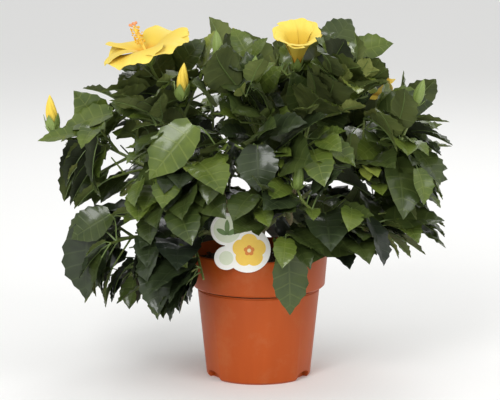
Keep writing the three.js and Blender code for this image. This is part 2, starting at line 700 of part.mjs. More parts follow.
function growLeaves(plan, twigs, stalks, named, random) {
  const grown = { leaves: [...named], twigLines: [...twigs, ...stalks].flatMap(twigLines) };
  twigs.forEach((twig, twigIndex) => {
    const first = twigIndex === 0 ? 0.12 : 0.3;
    const count = Math.max(2, Math.round((twig.curve.getLength() * (1 - first)) / LEAF_SPACING));
    for (let k = 0; k <= count; k += 1) {
      const share = first + ((LAST_LEAF - first) * k) / count;
      const { node, along } = twigPlace(twig, share);
      const inwards = plan.centre.clone().sub(node).normalize();
      for (let attempt = 0; attempt < LEAF_ATTEMPTS; attempt += 1) {
        const turn = degrees(SPIRAL_ANGLE * k + 47 * twigIndex + 65 * attempt);
        const size = THREE.MathUtils.lerp(1.12, 0.72, share) * (0.86 + 0.3 * random()) * (1 - 0.06 * attempt);
        const beside = around(along, turn).addScaledVector(inwards, 0.22 * attempt).normalize();
        const leaf = planLeaf(node, along, beside, size, random);
        leaf.test = leafTest(leaf);
        const middle = bladeMiddle(leaf);
        const crowded = grown.leaves.some((other) => (
          bladeMiddle(other).distanceTo(middle) < leaf.length * LEAF_CROWDING));
        if (!crowded && leafFits(leaf, plan, grown)) {
          grown.leaves.push(leaf);
          break;
        }
      }
    }
  });
  return grown.leaves;
}

// Blossom: a stalk from the nearest twig, a green cup and what opens out of it
function blossomStalk(row, twigs) {
  const { node, along } = nearestOnTwigs(twigs, row.place);
  const reach = node.distanceTo(row.place);
  const leaving = along.clone().multiplyScalar(0.4).addScaledVector(row.place.clone().sub(node), 1 / reach);
  const curve = limbCurve(node, leaving.normalize(), row.place, row.axis);
  return { curve, root: TWIG_ROOT_RADIUS, steps: 2 };
}

const CUP = [[0, -1], [3, 0], [4.4, 6], [4, 12], [0, 14]];
const YELLOW_BUD = [[0, 8], [4.2, 10], [5.4, 17], [3.4, 27], [0, 34]];
const GREEN_BUD = [[0, 6], [4, 9], [4.6, 13], [2.6, 19], [0, 24]];
const COLUMN = [[0, 0], [1.8, 1], [1.5, 0.7 * COLUMN_LENGTH], [3, 0.8 * COLUMN_LENGTH], [0, COLUMN_LENGTH]];

function trumpetProfile() {
  const [throat, lip] = [TRUMPET_RADIUS * 0.25, TRUMPET_RADIUS];
  const foot = 9;
  const end = foot + TRUMPET_LENGTH;
  return [
    [0, foot], [throat * 0.8, foot + 1], [throat, foot + 0.35 * TRUMPET_LENGTH],
    [lip * 0.62, foot + 0.72 * TRUMPET_LENGTH], [lip, end - 3],
    [lip * 0.97, end], [lip * 0.5, foot + 0.76 * TRUMPET_LENGTH], [0, foot + 0.4 * TRUMPET_LENGTH],
  ];
}

function petals({ place: foot, axis }) {
  const heart = foot.clone().addScaledVector(axis, 9);
  return [0, 1, 2, 3, 4].map((k) => {
    const outward = around(axis, degrees(72 * k + 20));
    const direction = outward.clone().multiplyScalar(Math.cos(degrees(PETAL_RISE)));
    direction.addScaledVector(axis, Math.sin(degrees(PETAL_RISE)));
    return bladeSolid({
      root: heart,
      base: heart.clone().addScaledVector(direction, 4),
      direction,
      normal: squareTo(direction, axis),
      length: PETAL_LENGTH,
      width: PETAL_WIDTH,
      curl: 0.7,
      fold: 0.1,
      thickness: 1,
      stalk: 1.6,
      sections: PETAL_SECTIONS,
    });
  });
}

function blossomSolids(row) {
  const turn = (profile, sides, rise) => (
    turned(profile, sides, row.place.clone().addScaledVector(row.axis, rise), row.axis));
  const parts = [turn(CUP, 6, 0)];
  if (row.kind === 'flower') {
    parts.push(...petals(row), turn(COLUMN, 5, 9));
  } else if (row.kind === 'trumpet') {
    parts.push(turn(trumpetProfile(), 9, 0));
  } else {
    parts.push(turn(row.kind === 'yellow_bud' ? YELLOW_BUD : GREEN_BUD, 6, 0));
  }
  return parts;
}

// A twig is thin where it is rooted in the lead, so that its end stays inside it
function twigRadius(root) {
  return (share) => (share === 0 ? root : THREE.MathUtils.lerp(TWIG_RADIUS, TWIG_TIP_RADIUS, share));
}

// Bodies of one mass, fused: its twigs, then its leaves with their stalks rooted in the twigs
function massSolid(plan) {
  const random = seeded(plan.seed);
  const twigs = growTwigs(plan, random);
  const blossom = blossoms.filter((row) => row.mass === plan.name);
  const stalks = blossom.map((row) => blossomStalk(row, twigs));
  const leaves = growLeaves(plan, twigs, stalks, namedLeaves(plan, twigs), random);
  const bars = [...twigs, ...stalks].map(({ curve, root, steps }) => bar(curve, twigRadius(root), 3, steps));
  return largestPiece(fuse([...bars, ...blossom.flatMap(blossomSolids), ...leaves.map(bladeSolid)]));
}

// Materials
function finish(color, roughness) {
  return new THREE.MeshStandardMaterial({ color, roughness, metalness: 0 });
}

const terracotta = finish(0xb75f39, 0.45);
const peat = finish(0x3a2a1f, 0.95);
const card = finish(0xf2efe2, 0.5);
const bark = finish(0x6f6a45, 0.8);
const greenwood = finish(0x66743f, 0.7);
const leafGreen = finish(0x44542a, 0.35);

// Scene graph
const group = new THREE.Group();

function place(name, body, material) {
  const mesh = new THREE.Mesh(geometryOf(body), material);
  mesh.name = name;
  group.add(mesh);
}

place('pot', pot(), terracotta);
place('potting_soil', soil(), peat);
place('plant_label', label(), card);
Object.keys(STEMS).forEach((name) => place(`stem_${name}`, stemSolid(name, 0), bark));
plans.forEach((plan) => place(`bough_${plan.name}`, boughSolid(plan), greenwood));
plans.forEach((plan) => place(`foliage_${plan.name}`, massSolid(plan), leafGreen));

export default group;
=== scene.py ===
# %% [markdown]
# A potted hibiscus: three rooted cuttings in a round plastic nursery pot, with a bushy crown of glossy
# leaves, yellow flowers and a label hooked over the rim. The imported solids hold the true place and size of
# every limb, mass of leaves and pot wall. They could be shown as they are, but their leaves have only a few
# flat faces, so they serve as a fixed frame: the plant grows again over it by the same rule, in fine detail.

# %% Load the solids as the frame
import math
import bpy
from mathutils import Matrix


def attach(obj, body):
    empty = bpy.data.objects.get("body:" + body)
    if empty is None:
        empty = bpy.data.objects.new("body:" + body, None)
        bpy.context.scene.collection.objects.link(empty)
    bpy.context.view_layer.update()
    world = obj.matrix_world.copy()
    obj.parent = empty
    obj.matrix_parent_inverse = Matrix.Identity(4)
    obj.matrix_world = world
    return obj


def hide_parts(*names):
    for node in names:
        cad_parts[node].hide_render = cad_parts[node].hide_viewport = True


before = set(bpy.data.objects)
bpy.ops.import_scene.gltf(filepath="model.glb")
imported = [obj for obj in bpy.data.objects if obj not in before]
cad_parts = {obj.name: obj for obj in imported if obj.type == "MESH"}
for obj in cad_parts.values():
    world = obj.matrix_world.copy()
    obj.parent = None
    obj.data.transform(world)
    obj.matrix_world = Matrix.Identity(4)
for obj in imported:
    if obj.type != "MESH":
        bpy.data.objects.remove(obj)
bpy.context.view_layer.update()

from types import SimpleNamespace

import bpy
import numpy as np

bpy.ops.object.select_all(action="DESELECT")
MM = 0.001

# %% [markdown]
# The product shot was taken from about two metres away and half a metre above the ground, with a long lens,
# so that verticals stay upright. A camera can be set by eye, but here its place is the real one, and the
# lens is worked out from the width that the picture has to take in at the pot's axis.

# %% The camera
CAMERA_PLACE = (0.0, -2.0, 0.5)
AIMED_AT = (-0.008, 0.0, 0.166)
WIDTH_IN_VIEW = 0.468

away = math.dist(CAMERA_PLACE, AIMED_AT)
bpy.ops.object.camera_add(location=CAMERA_PLACE)
camera = bpy.context.object
pitch = math.asin((CAMERA_PLACE[2] - AIMED_AT[2]) / away)
turn = math.atan2(CAMERA_PLACE[0] - AIMED_AT[0], AIMED_AT[1] - CAMERA_PLACE[1])
camera.rotation_euler = (math.pi / 2 - pitch, 0, turn)
camera.data.lens = camera.data.sensor_width * away / WIDTH_IN_VIEW
bpy.context.scene.camera = camera
print("lens in mm:", round(camera.data.lens))

# %% [markdown]
# A studio lights such a plant with large soft boxes and a white room. Small lamps would give hard spots on
# waxy leaves. A strong box in front, above the camera and to its left, gives the sheen on the leaves, two
# weaker ones light the right side and the back, and a pale even sky stands for the white room. The picture
# is shown in the Standard view: the filmic one turns strong yellow and orange pale.

# %% Light
# place of each lamp, its size in metres and its watts
SOFT_BOXES = [((-0.6, -1.75, 1.25), 0.8, 23), ((1.3, -1.0, 1.1), 0.8, 7), ((0.3, 1.4, 1.5), 0.8, 7)]
MIDDLE_OF_PLANT = np.array([0, 0, 0.2])
ROOM_COLOUR, ROOM_STRENGTH = (1, 1, 1, 1), 0.75


def soft_box(place, size, watts):
    """A square area lamp that looks at the middle of the plant."""
    bpy.ops.object.light_add(type="AREA", location=place)
    lamp = bpy.context.object
    lamp.data.size = size
    lamp.data.energy = watts
    toward = MIDDLE_OF_PLANT - np.array(place)
    flat = math.hypot(toward[0], toward[1])
    lamp.rotation_euler = (math.pi / 2 + math.atan2(toward[2], flat), 0, math.atan2(-toward[0], toward[1]))


for row in SOFT_BOXES:
    soft_box(*row)
world = bpy.data.worlds.new("white_room")
bpy.context.scene.world = world
world.use_nodes = True
room = world.node_tree.nodes["Background"]
room.inputs["Color"].default_value = ROOM_COLOUR
room.inputs["Strength"].default_value = ROOM_STRENGTH
bpy.context.scene.view_settings.view_transform = "Standard"

# %% [markdown]
# Every finish is built from nodes. Colours are noted as they look on a screen, in sRGB hex, while shaders
# work in linear light, so one function turns them over. A small class adds a node with its settings and
# links in one line, and knows the few kinds of node that nearly all finishes here are made of.

# %% How finishes are built
def linear(hex_colour):
    """An sRGB hex colour as the linear colour that shaders use."""
    parts = [int(hex_colour[i:i + 2], 16) / 255 for i in (1, 3, 5)]
    return [part / 12.92 if part <= 0.04045 else ((part + 0.055) / 1.055) ** 2.4 for part in parts] + [1]


class Finish:
    """A material in the making. Between the first and the last, each method gives a new node's output."""

    def __init__(self, name, settings):
        self.material = bpy.data.materials.new(name)
        self.material.use_nodes = True
        self.tree = self.material.node_tree
        self.shader = self.tree.nodes["Principled BSDF"]
        for key, value in settings.items():
            self.shader.inputs[key].default_value = value
        coords = self.tree.nodes.new("ShaderNodeTexCoord")
        self.place, self.uv = coords.outputs["Object"], coords.outputs["UV"]

    def node(self, kind, output, inputs, **properties):
        """A node whose inputs are numbers, hex colours or the outputs of other nodes."""
        node = self.tree.nodes.new("ShaderNode" + kind)
        for key, value in properties.items():
            setattr(node, key, value)
        for key, value in inputs.items():
            if isinstance(value, bpy.types.NodeSocket):
                self.tree.links.new(value, node.inputs[key])
            else:
                node.inputs[key].default_value = linear(value) if isinstance(value, str) else value
        return node.outputs[output]

    def noise(self, size, detail=2, place=None, roughness=0.5):
        """Cloudy noise with grains of a size in millimetres."""
        return self.node("TexNoise", "Fac", {"Vector": self.place if place is None else place,
                                             "Scale": 1 / (size * MM), "Detail": detail,
                                             "Roughness": roughness})

    def stretched(self, place, scale):
        """Places scaled along each axis, which draws a noise out into streaks."""
        return self.node("Mapping", "Vector", {"Vector": place, "Scale": scale})

    def ramp(self, value, start, end, low=0.0, high=1.0, **properties):
        """Goes from low to high while a value goes from start to end."""
        return self.node("MapRange", "Result", {"Value": value, "From Min": start, "From Max": end,
                                                "To Min": low, "To Max": high}, **properties)

    def maths(self, operation, *values):
        """Arithmetic on one, two or three values."""
        return self.node("Math", "Value", dict(enumerate(values)), operation=operation)

    def blend(self, share, first, second):
        """A colour that is the first at share 0 and the second at share 1."""
        return self.node("Mix", 2, {0: share, 6: first, 7: second}, data_type="RGBA")

    def done(self, colour, height=None, strength=0.0, depth=0.0):
        """The material, with its colour and a relief of a depth in millimetres."""
        self.tree.links.new(colour, self.shader.inputs["Base Color"])
        if height is not None:
            relief = self.node("Bump", "Normal", {"Height": height, "Strength": strength,
                                                  "Distance": depth * MM})
            self.tree.links.new(relief, self.shader.inputs["Normal"])
        return self.material


print("white paper in linear light:", [round(value, 3) for value in linear("#fafafa")])

# %% [markdown]
# The floor is a wide sheet of white studio paper: matte, with no pattern that shows from this far. It is
# stage, and no part of the plant.

# %% The floor
PAPER_GRAIN, FLOOR_SIZE = 2.5, 12
paper = Finish("white_studio_paper_matte", {"Roughness": 0.9})
bpy.ops.mesh.primitive_plane_add(size=FLOOR_SIZE)
floor = bpy.context.object
floor.name = "studio_floor"
floor.data.materials.append(paper.done(paper.blend(paper.noise(PAPER_GRAIN), "#f4f4f2", "#fafaf9")))
print("floor:", floor.name)

# %% [markdown]
# The plant grows by the rule that made the solids, in millimetres. Written again here, with the same seeds
# and the same tests, it gives each leaf of the solids at its place. A rule is chosen over reading the
# solids' vertices back, because only the rule knows where twigs run and can be carried on to finer ones.
# These are its driving sizes.

# %% Driving sizes of the plant
GAP = 0.3
SOIL_TOP = 106
POT_RIM_RADIUS = 65
POT_HEIGHT = 119
LABEL_DISCS = [(-10, 131, 21), (-28.5, 150, 15), (-29.3, 123.5, 11)]
# Leaves keep clear of so much before the label, and of so much to each side of the pot's middle in front
VIEW_OF_LABEL = 60
VIEW_OF_POT = 55
STEM_FOOT, STEM_TIP, STEM_FLARE = 4.6, 2.6, 0.45
BOUGH_ROOT, BOUGH_TIP, BOUGH_SHARE = 2.3, 1.5, 0.42
LEAF_LENGTH, LEAF_WIDTH_SHARE = 70, 0.68
LEAF_THICKNESS, LEAF_FOLD, LEAF_CURL = 0.84, 0.24, 0.55
LEAF_SPACING, LEAF_TURN, PETIOLE_LENGTH = 12.5, 1.4, 19
SIDE_TWIGS, SIDE_TWIG_LENGTH, SPIRAL_ANGLE = 6, 62, 137.5
CROWN_TOP, CROWN_WIDEST, CROWN_FOOT, CROWN_FOOT_RIGHT, FOOT_TURN = 331, 225, 68, 120, 70
CROWN_HALF_WIDTH, CROWN_HALF_DEPTH = 186, 158
# stem: where it leaves the soil, and the point where it ends
STEMS = {"left": ((-23, -7), (-34, -10, 176)), "right": ((24, -10), (33, -16, 180)),
         "back": ((2, 25), (3, 36, 182))}

# name, stem, how far up it the bough leaves, bearing, distance and height of the mass's tip, seed
MASSES = [
    ("left_low", "left", 0.3, 187, 134, 132, 36),
    ("front_left_low", "left", 0.42, 216, 112, 124, 2),
    ("front_right_low", "right", 0.3, 302, 104, 152, 39),
    ("right_low", "right", 0.42, 355, 122, 158, 153),
    ("back_right_low", "back", 0.3, 56, 116, 150, 141),
    ("back_left_low", "back", 0.42, 124, 120, 128, 25),
    ("left", "left", 0.72, 181, 160, 226, 115),
    ("front_left", "left", 0.86, 237, 114, 214, 174),
    ("front", "right", 0.6, 276, 106, 222, 134),
    ("right", "right", 0.78, 346, 138, 228, 61),
    ("back_right", "back", 0.62, 52, 126, 216, 200),
    ("back_left", "back", 0.78, 126, 126, 218, 103),
    ("top_left", "left", 1, 194, 98, 286, 163),
    ("top_front", "right", 0.92, 248, 54, 288, 108),
    ("top_right", "right", 1, 338, 66, 292, 54),
    ("top_back", "back", 1, 88, 80, 272, 172),
]

# mass, kind, foot of the green cup, the way that the blossom looks
BLOSSOMS = [
    ("top_left", "flower", (-99, -30, 296), (-0.22, -0.38, 0.9)),
    ("top_right", "trumpet", (35, -32, 292), (0.05, -0.37, 0.93)),
    ("back_right", "flower", (92, 118, 244), (0.25, 0.6, 0.75)),
    ("left", "yellow_bud", (-190, -14, 232), (-0.08, 0, 1)),
    ("top_left", "yellow_bud", (-70, -62, 268), (0.1, -0.2, 1)),
    ("top_front", "green_bud", (-5, -62, 284), (0.1, -0.25, 1)),
    ("top_front", "green_bud", (-36, -44, 304), (-0.1, 0, 1)),
    ("front", "green_bud", (34, -118, 196), (0.1, -0.3, 1)),
    ("top_back", "yellow_bud", (-18, 92, 286), (-0.2, 0.3, 1)),
    ("back_left", "green_bud", (-112, 96, 246), (-0.3, 0.2, 1)),
    ("right", "green_bud", (142, -50, 262), (0.3, -0.2, 1)),
]

# Leaves that stand out: mass, base and tip of the blade, its width, the way that it faces
NAMED_LEAVES = [
    ("left", (-160, -44, 236), (-203, -40, 230), 18, (0, -0.5, 1)),
    ("left", (-134, -34, 252), (-184, -30, 238), 34, (-0.2, -0.6, 1)),
    ("left_low", (-157, -40, 150), (-161, -44, 79), 46, (-0.2, -1, 0.1)),
    ("left_low", (-136, -44, 160), (-173, -46, 138), 34, (-0.4, -1, 0.5)),
    ("front_left", (-58, -104, 250), (-98, -114, 204), 42, (0, -0.9, 0.6)),
    ("front", (-1, -116, 234), (0, -126, 194), 38, (0, -1, 0.35)),
    ("front_right_low", (27, -99, 138), (29, -105, 78), 34, (0.15, -1, 0.1)),
    ("front_right_low", (45, -92, 150), (86, -96, 134), 30, (0.2, -1, 0.5)),
]

# Windows of sky through the crown, seen from the front: centre across and up, half width, half height
SKY_WINDOWS = [(-130, 206, 11, 20), (-122, 128, 9, 22), (-64, 252, 5, 6), (-14, 247, 4, 5)]
print("masses:", len(MASSES), "blossoms:", len(BLOSSOMS))

# %% [markdown]
# Chance has to fall the same way every time, and the same way as in the solids, so the stream of random
# numbers is written out. Directions are plain arrays of three numbers.

# %% Repeatable chance, and directions
UP = np.array([0.0, 0.0, 1.0])
ALL_BITS = 0xFFFFFFFF


def seeded(seed):
    """A repeatable stream of numbers from 0 to 1."""
    state = seed

    def draw():
        nonlocal state
        state = (state + 0x6D2B79F5) & ALL_BITS
        mixed = (state ^ (state >> 15)) * (state | 1) & ALL_BITS
        mixed ^= (mixed + (mixed ^ (mixed >> 7)) * (mixed | 61)) & ALL_BITS
        return (mixed ^ (mixed >> 14)) / (ALL_BITS + 1)

    return draw


def unit(vector):
    """A direction of length 1."""
    return vector / np.linalg.norm(vector)


def mix(a, b, share):
    """The value, or the point, a share of the way from a to b."""
    return a + (b - a) * share


def square_to(direction, wanted):
    """The part of a wanted direction that is square to another."""
    return unit(wanted - direction * (wanted @ direction))


def around(axis, angle):
    """The direction square to an axis, at an angle round it."""
    reference = UP if abs(axis[2]) < 0.9 else np.array([1.0, 0, 0])
    across = unit(np.cross(axis, reference))
    return across * math.cos(angle) + np.cross(axis, across) * math.sin(angle)


draw_of_nine = seeded(9)
print("first chances of seed 9:", [round(draw_of_nine(), 4) for _ in range(3)])

# %% [markdown]
# A limb is one smooth arch. A Bezier curve gives it with a start, an end and two directions, with its
# handles a third of the span long. The woody limbs are the same curves as in the solids: each stem from the
# soil to its fork, and each bough for the first part of its way to the tip of its mass.

# %% Stems, boughs and the lead of each mass
BOUGH_RISE, CENTRE_SHARE = 0.75, 0.55


class Limb:
    """A smooth limb that leaves its start one way and arrives at its end another."""

    def __init__(self, start, leaving, end, arriving):
        reach = np.linalg.norm(end - start) / 3
        self.knots = np.array([start, start + leaving * reach, end - arriving * reach, end])

    def points(self, shares):
        t = np.asarray(shares, float)[..., None]
        weights = ((1 - t) ** 3, 3 * (1 - t) ** 2 * t, 3 * (1 - t) * t ** 2, t ** 3)
        return sum(weight * knot for weight, knot in zip(weights, self.knots))

    def way(self, share):
        return unit(self.points(min(1, share + 1e-4)) - self.points(max(0, share - 1e-4)))

    def length(self):
        return np.linalg.norm(np.diff(self.points(np.linspace(0, 1, 201)), axis=0), axis=1).sum()


def stem_limb(foot, fork):
    """A cutting: upright from the soil, then leaning to its fork."""
    start, end = np.array([*foot, SOIL_TOP + GAP], float), np.array(fork, float)
    return Limb(start, UP, end, unit(end - start))


def plan_mass(name, stem_name, leaves_at, bearing, spread, height, seed):
    """The bough of a mass, its lead twig and the middle of its space."""
    stem, angle = stems[stem_name], math.radians(bearing)
    tip = np.array([spread * math.cos(angle), spread * math.sin(angle), height])
    in_line = leaves_at == 1
    fork, stem_way = stem.points(leaves_at), stem.way(leaves_at)
    leaving = stem_way if in_line else unit(unit((tip - fork) * (1, 1, 0)) + UP * BOUGH_RISE)
    start = fork + stem_way * GAP if in_line else fork
    whole = Limb(start, leaving, tip, unit(tip - start))
    end, arriving = whole.points(BOUGH_SHARE), whole.way(BOUGH_SHARE)
    entry = end + arriving * GAP
    return SimpleNamespace(
        name=name, seed=seed, in_line=in_line, bough=Limb(start, leaving, end, arriving),
        lead=Limb(entry, arriving, tip, unit(tip - entry)), centre=mix(entry, tip, CENTRE_SHARE))


def stem_radius(share):
    """Radius of a stem: a straight taper with a flared foot."""
    return mix(STEM_FOOT, STEM_TIP, share) * (1 + STEM_FLARE * np.exp(-share * 12))


def bough_radius(plan, share):
    """Radius of a bough: a straight taper."""
    return mix(STEM_TIP if plan.in_line else BOUGH_ROOT, BOUGH_TIP, share)


stems = {name: stem_limb(*row) for name, row in STEMS.items()}
plans = [plan_mass(*row) for row in MASSES]
print("bough lengths in mm:", [round(float(plan.bough.length())) for plan in plans])

# %% [markdown]
# A leaf or twig only stays if it keeps clear of the woody limbs, the blossom, the pot and the label. The
# limbs are noted as beads: close points with a radius, which are far quicker to test against than a mesh.

# %% Beads along the limbs
BEAD_SPACING = 3


def limb_beads():
    """Points down the middle of every woody limb, with the limb's radius at each."""
    places, radii = [], []
    limbs = [(stem, stem_radius) for stem in stems.values()]
    limbs += [(plan.bough, lambda share, plan=plan: bough_radius(plan, share)) for plan in plans]
    for limb, radius_at in limbs:
        count = math.ceil(limb.length() / BEAD_SPACING)
        shares = np.arange(count + 1) / count
        places.append(limb.points(shares))
        radii.append(radius_at(shares))
    return np.concatenate(places), np.concatenate(radii)


bead_places, bead_radii = limb_beads()
print("beads along the limbs:", len(bead_places))

# %% [markdown]
# Blossom needs free room round it, or leaves would grow through its petals. Its room is round, with a
# radius that is known at each place along its axis. The pot's front and the windows of sky between the
# leaves stay free as well, as seen from the camera.

# %% The room for blossom and for the views
blossoms = [SimpleNamespace(mass=mass, kind=kind, place=np.array(at, float), axis=unit(np.array(facing)))
            for mass, kind, at, facing in BLOSSOMS]


def blossom_room(kind, along):
    """Radius of the room that a blossom takes, at points along its axis."""
    if kind == "flower":
        return np.where((along > -2) & (along < 30), 46, 0)
    if kind == "trumpet":
        return np.where((along > -4) & (along < 46), 8 + np.maximum(0, along - 8) * 0.55, 0)
    reach, radius = (36, 7.5) if kind == "yellow_bud" else (26, 7)
    return np.where((along > -6) & (along < reach), radius, 0)


def clear_of_blossom(points):
    """Whether all the points keep out of the room of every blossom."""
    for blossom in blossoms:
        offset = points - blossom.place
        along = offset @ blossom.axis
        beside = np.linalg.norm(offset - along[:, None] * blossom.axis, axis=1)
        if not (beside > blossom_room(blossom.kind, along)).all():
            return False
    return True


def clear_of_windows(points):
    """Whether no point hides the pot's front or a window of sky."""
    x, y, z = points.T
    covers = [np.hypot((x - at_x) / half_width, (z - at_z) / half_height) <= 1
              for at_x, at_z, half_width, half_height in SKY_WINDOWS]
    before_pot = (y < 0) & (z < POT_HEIGHT) & (np.abs(x) < VIEW_OF_POT)
    return not (before_pot | np.any(covers, axis=0)).any()


print("blossoms to keep clear of:", len(blossoms), "windows of sky:", len(SKY_WINDOWS))

# %% [markdown]
# The crown is a dome on an oval, with a foot that rises to the right. In it, the space of a mass is all
# that lies nearer to its middle than to any other's, so that masses never cross. Each test takes many
# points at once, as arrays, which is quick.

# %% The space of a mass
CELL_MARGIN, POT_MARGIN, CARD_ZONE = 0.4, 1.6, 8
CROWN_DOME_TOP, CROWN_ROUNDING = CROWN_TOP + 12, 0.72
for plan in plans:
    plan.rivals = np.array([other.centre for other in plans if other is not plan])
    plan.spans = np.linalg.norm(plan.rivals - plan.centre, axis=1)


def in_place(points, plan, stretch):
    """Whether all the points lie in the mass's space and the crown, clear of pot, label and blossom."""
    x, y, z = points.T
    rise = np.maximum(0, (z - CROWN_WIDEST) / (CROWN_DOME_TOP - CROWN_WIDEST))
    shrink = np.sqrt(np.maximum(0.02, 1 - CROWN_ROUNDING * rise ** 2)) * stretch
    out = np.hypot(x / (CROWN_HALF_WIDTH * shrink), y / (CROWN_HALF_DEPTH * shrink))
    turn = np.clip((x + FOOT_TURN) / (2 * FOOT_TURN), 0, 1)
    foot = mix(CROWN_FOOT, CROWN_FOOT_RIGHT, turn * turn * (3 - 2 * turn))
    if not ((out < 1) & (z < CROWN_TOP) & (z > foot)).all():
        return False
    near = ((points - plan.centre) ** 2).sum(1)[:, None]
    far = ((points[:, None] - plan.rivals) ** 2).sum(2)
    if not ((far - near) / (2 * plan.spans) > CELL_MARGIN).all():
        return False
    if not ((z > POT_HEIGHT + POT_MARGIN) | (np.hypot(x, y) > POT_RIM_RADIUS + POT_MARGIN)).all():
        return False
    near_card = (y < -(POT_RIM_RADIUS - CARD_ZONE)) & (y > -(POT_RIM_RADIUS + VIEW_OF_LABEL))
    covers = [np.hypot(x - disc_x, z - disc_z) <= radius for disc_x, disc_z, radius in LABEL_DISCS]
    if (near_card & np.any(covers, axis=0)).any():
        return False
    return clear_of_blossom(points)


print("middles of masses in the crown:", sum(in_place(plan.centre[None], plan, 1) for plan in plans))

# %% [markdown]
# Two leaves may overlap in a view, but they can't pass through each other. For this test a leaf is four
# triangles and nine straight lines, and no line of one may pierce a triangle of another.

# %% Whether things touch
LIMB_MARGIN, WIDEST_LIMB = 1.6, 8


def cross(a, b):
    """Cross product of arrays of directions."""
    return np.stack([a[..., 1] * b[..., 2] - a[..., 2] * b[..., 1],
                     a[..., 2] * b[..., 0] - a[..., 0] * b[..., 2],
                     a[..., 0] * b[..., 1] - a[..., 1] * b[..., 0]], -1)


def any_pierce(lines, triangles):
    """Whether any straight line passes through any triangle."""
    origin, way = lines[:, None, 0], (lines[:, 1] - lines[:, 0])[:, None]
    corner = triangles[:, 0]
    first, second = triangles[:, 1] - corner, triangles[:, 2] - corner
    normal = cross(first, second)
    facing = (way * normal).sum(-1)
    sign, offset = np.sign(facing), origin - corner
    u = sign * (way * cross(offset, second)).sum(-1)
    v = sign * (way * cross(first, offset)).sum(-1)
    depth = -sign * (offset * normal).sum(-1)
    size = np.abs(facing)
    in_triangle = (facing != 0) & (u >= 0) & (v >= 0) & (u + v <= size)
    return bool((in_triangle & (depth >= 0) & (depth <= size)).any())


def triangle_gaps(places, triangles):
    """Distance of each place to each triangle."""
    places = places[:, None]
    corners = [triangles[:, i] for i in range(3)]
    normal = cross(corners[1] - corners[0], corners[2] - corners[0])
    gap, inside = np.inf, True
    for start, end in zip(corners, corners[1:] + corners[:1]):
        way = end - start
        share = np.clip(((places - start) * way).sum(-1) / (way ** 2).sum(-1), 0, 1)[..., None]
        gap = np.minimum(gap, np.linalg.norm(places - start - way * share, axis=-1))
        inside = inside & ((cross(way, places - start) * normal).sum(-1) >= 0)
    above = np.abs(((places - corners[0]) * normal).sum(-1)) / np.linalg.norm(normal, axis=-1)
    return np.where(inside, above, gap)


def clear_of_limbs(triangles, points):
    """Whether a leaf's triangles keep their distance from the woody limbs."""
    low, high = points.min(0) - WIDEST_LIMB, points.max(0) + WIDEST_LIMB
    near = ((bead_places >= low) & (bead_places <= high)).all(1)
    if not near.any():
        return True
    gaps = triangle_gaps(bead_places[near], triangles)
    return bool((gaps > (bead_radii[near] + LIMB_MARGIN)[:, None]).all())


print("an upright line through a flat triangle:", any_pierce(
    np.array([[[0.2, 0.2, -1], [0.2, 0.2, 1]]]), np.array([[[0, 0, 0], [1, 0, 0], [0, 1, 0.0]]])))

# %% [markdown]
# Twigs leave the lead of a mass in the spiral that leaves follow on a real shoot, shorter towards its tip.
# Where one would leave the space of its mass, it is tried again further round and shorter. A twig runs
# straight from node to node, so it is a few steps along its arch.

# %% The rule for twigs
TWIG_TIP = 1.3
LEAD_STEPS, TWIG_STEPS, TWIG_ATTEMPTS = 3, 2, 4
TWIG_FORWARD, TWIG_OUTWARD, TWIG_SAG = 0.55, 0.85, 0.1


def twig_place(twig, share):
    """The point and the direction of a twig at a share of its way, along its straight steps."""
    step = min(int(share * twig.steps), twig.steps - 1)
    start, end = twig.limb.points([step / twig.steps, (step + 1) / twig.steps])
    return mix(start, end, share * twig.steps - step), unit(end - start)


def twig_fits(limb, plan):
    """Whether a twig keeps to the space of its mass and off the woody limbs."""
    points = limb.points(np.arange(13) / 12)
    if not in_place(points, plan, 1):
        return False
    gaps = np.linalg.norm(points[1:, None] - bead_places, axis=2)
    return bool((gaps > bead_radii + TWIG_TIP + LIMB_MARGIN).all())


def grow_side_twig(plan, start, along, turn, length):
    """A twig that leaves another one outwards and settles a little under its own weight."""
    leaving = unit(along * TWIG_FORWARD + around(along, turn) * TWIG_OUTWARD)
    end = start + leaving * length + UP * (-TWIG_SAG * length)
    limb = Limb(start, leaving, end, unit(end - start))
    return limb if twig_fits(limb, plan) else None


def grow_twigs(plan, chance):
    """The lead of a mass and the side twigs that fit."""
    lead = SimpleNamespace(limb=plan.lead, steps=LEAD_STEPS, order=0)
    twigs = [lead]
    for k in range(SIDE_TWIGS):
        share = 0.1 + (0.78 * k) / SIDE_TWIGS
        start, along = twig_place(lead, share)
        for attempt in range(TWIG_ATTEMPTS):
            turn = math.radians(SPIRAL_ANGLE * k + 60 * attempt + 30 * chance())
            length = SIDE_TWIG_LENGTH * (1 - 0.35 * share) * (0.8 + 0.35 * chance()) * (1 - 0.12 * attempt)
            limb = grow_side_twig(plan, start, along, turn, length)
            if limb:
                twigs.append(SimpleNamespace(limb=limb, steps=TWIG_STEPS, order=1))
                break
    return twigs


def nearest_on_twigs(twigs, place):
    """The point of the twigs that is nearest to a place, and the twig's direction there."""
    found = [twig_place(twig, share) for twig in twigs for share in (0.2, 0.35, 0.5, 0.65, 0.8, 0.95)]
    return min(found, key=lambda item: np.linalg.norm(item[0] - place))


def blossom_stalk(blossom, twigs):
    """A stalk from the nearest twig to the foot of a blossom's cup."""
    node, along = nearest_on_twigs(twigs, blossom.place)
    leaving = unit(along * 0.4 + unit(blossom.place - node))
    limb = Limb(node, leaving, blossom.place, blossom.axis)
    return SimpleNamespace(limb=limb, steps=TWIG_STEPS)


print("rule for twigs: up to", SIDE_TWIGS, "side twigs on each lead")

# %% [markdown]
# A leaf is held out on its stalk, turned a little to the light, and hangs more the lower it grows. Its
# blade is folded along the midrib and curls down along an arc. Chance is drawn in the same order as for the
# solids, so that their leaves come back at their places.

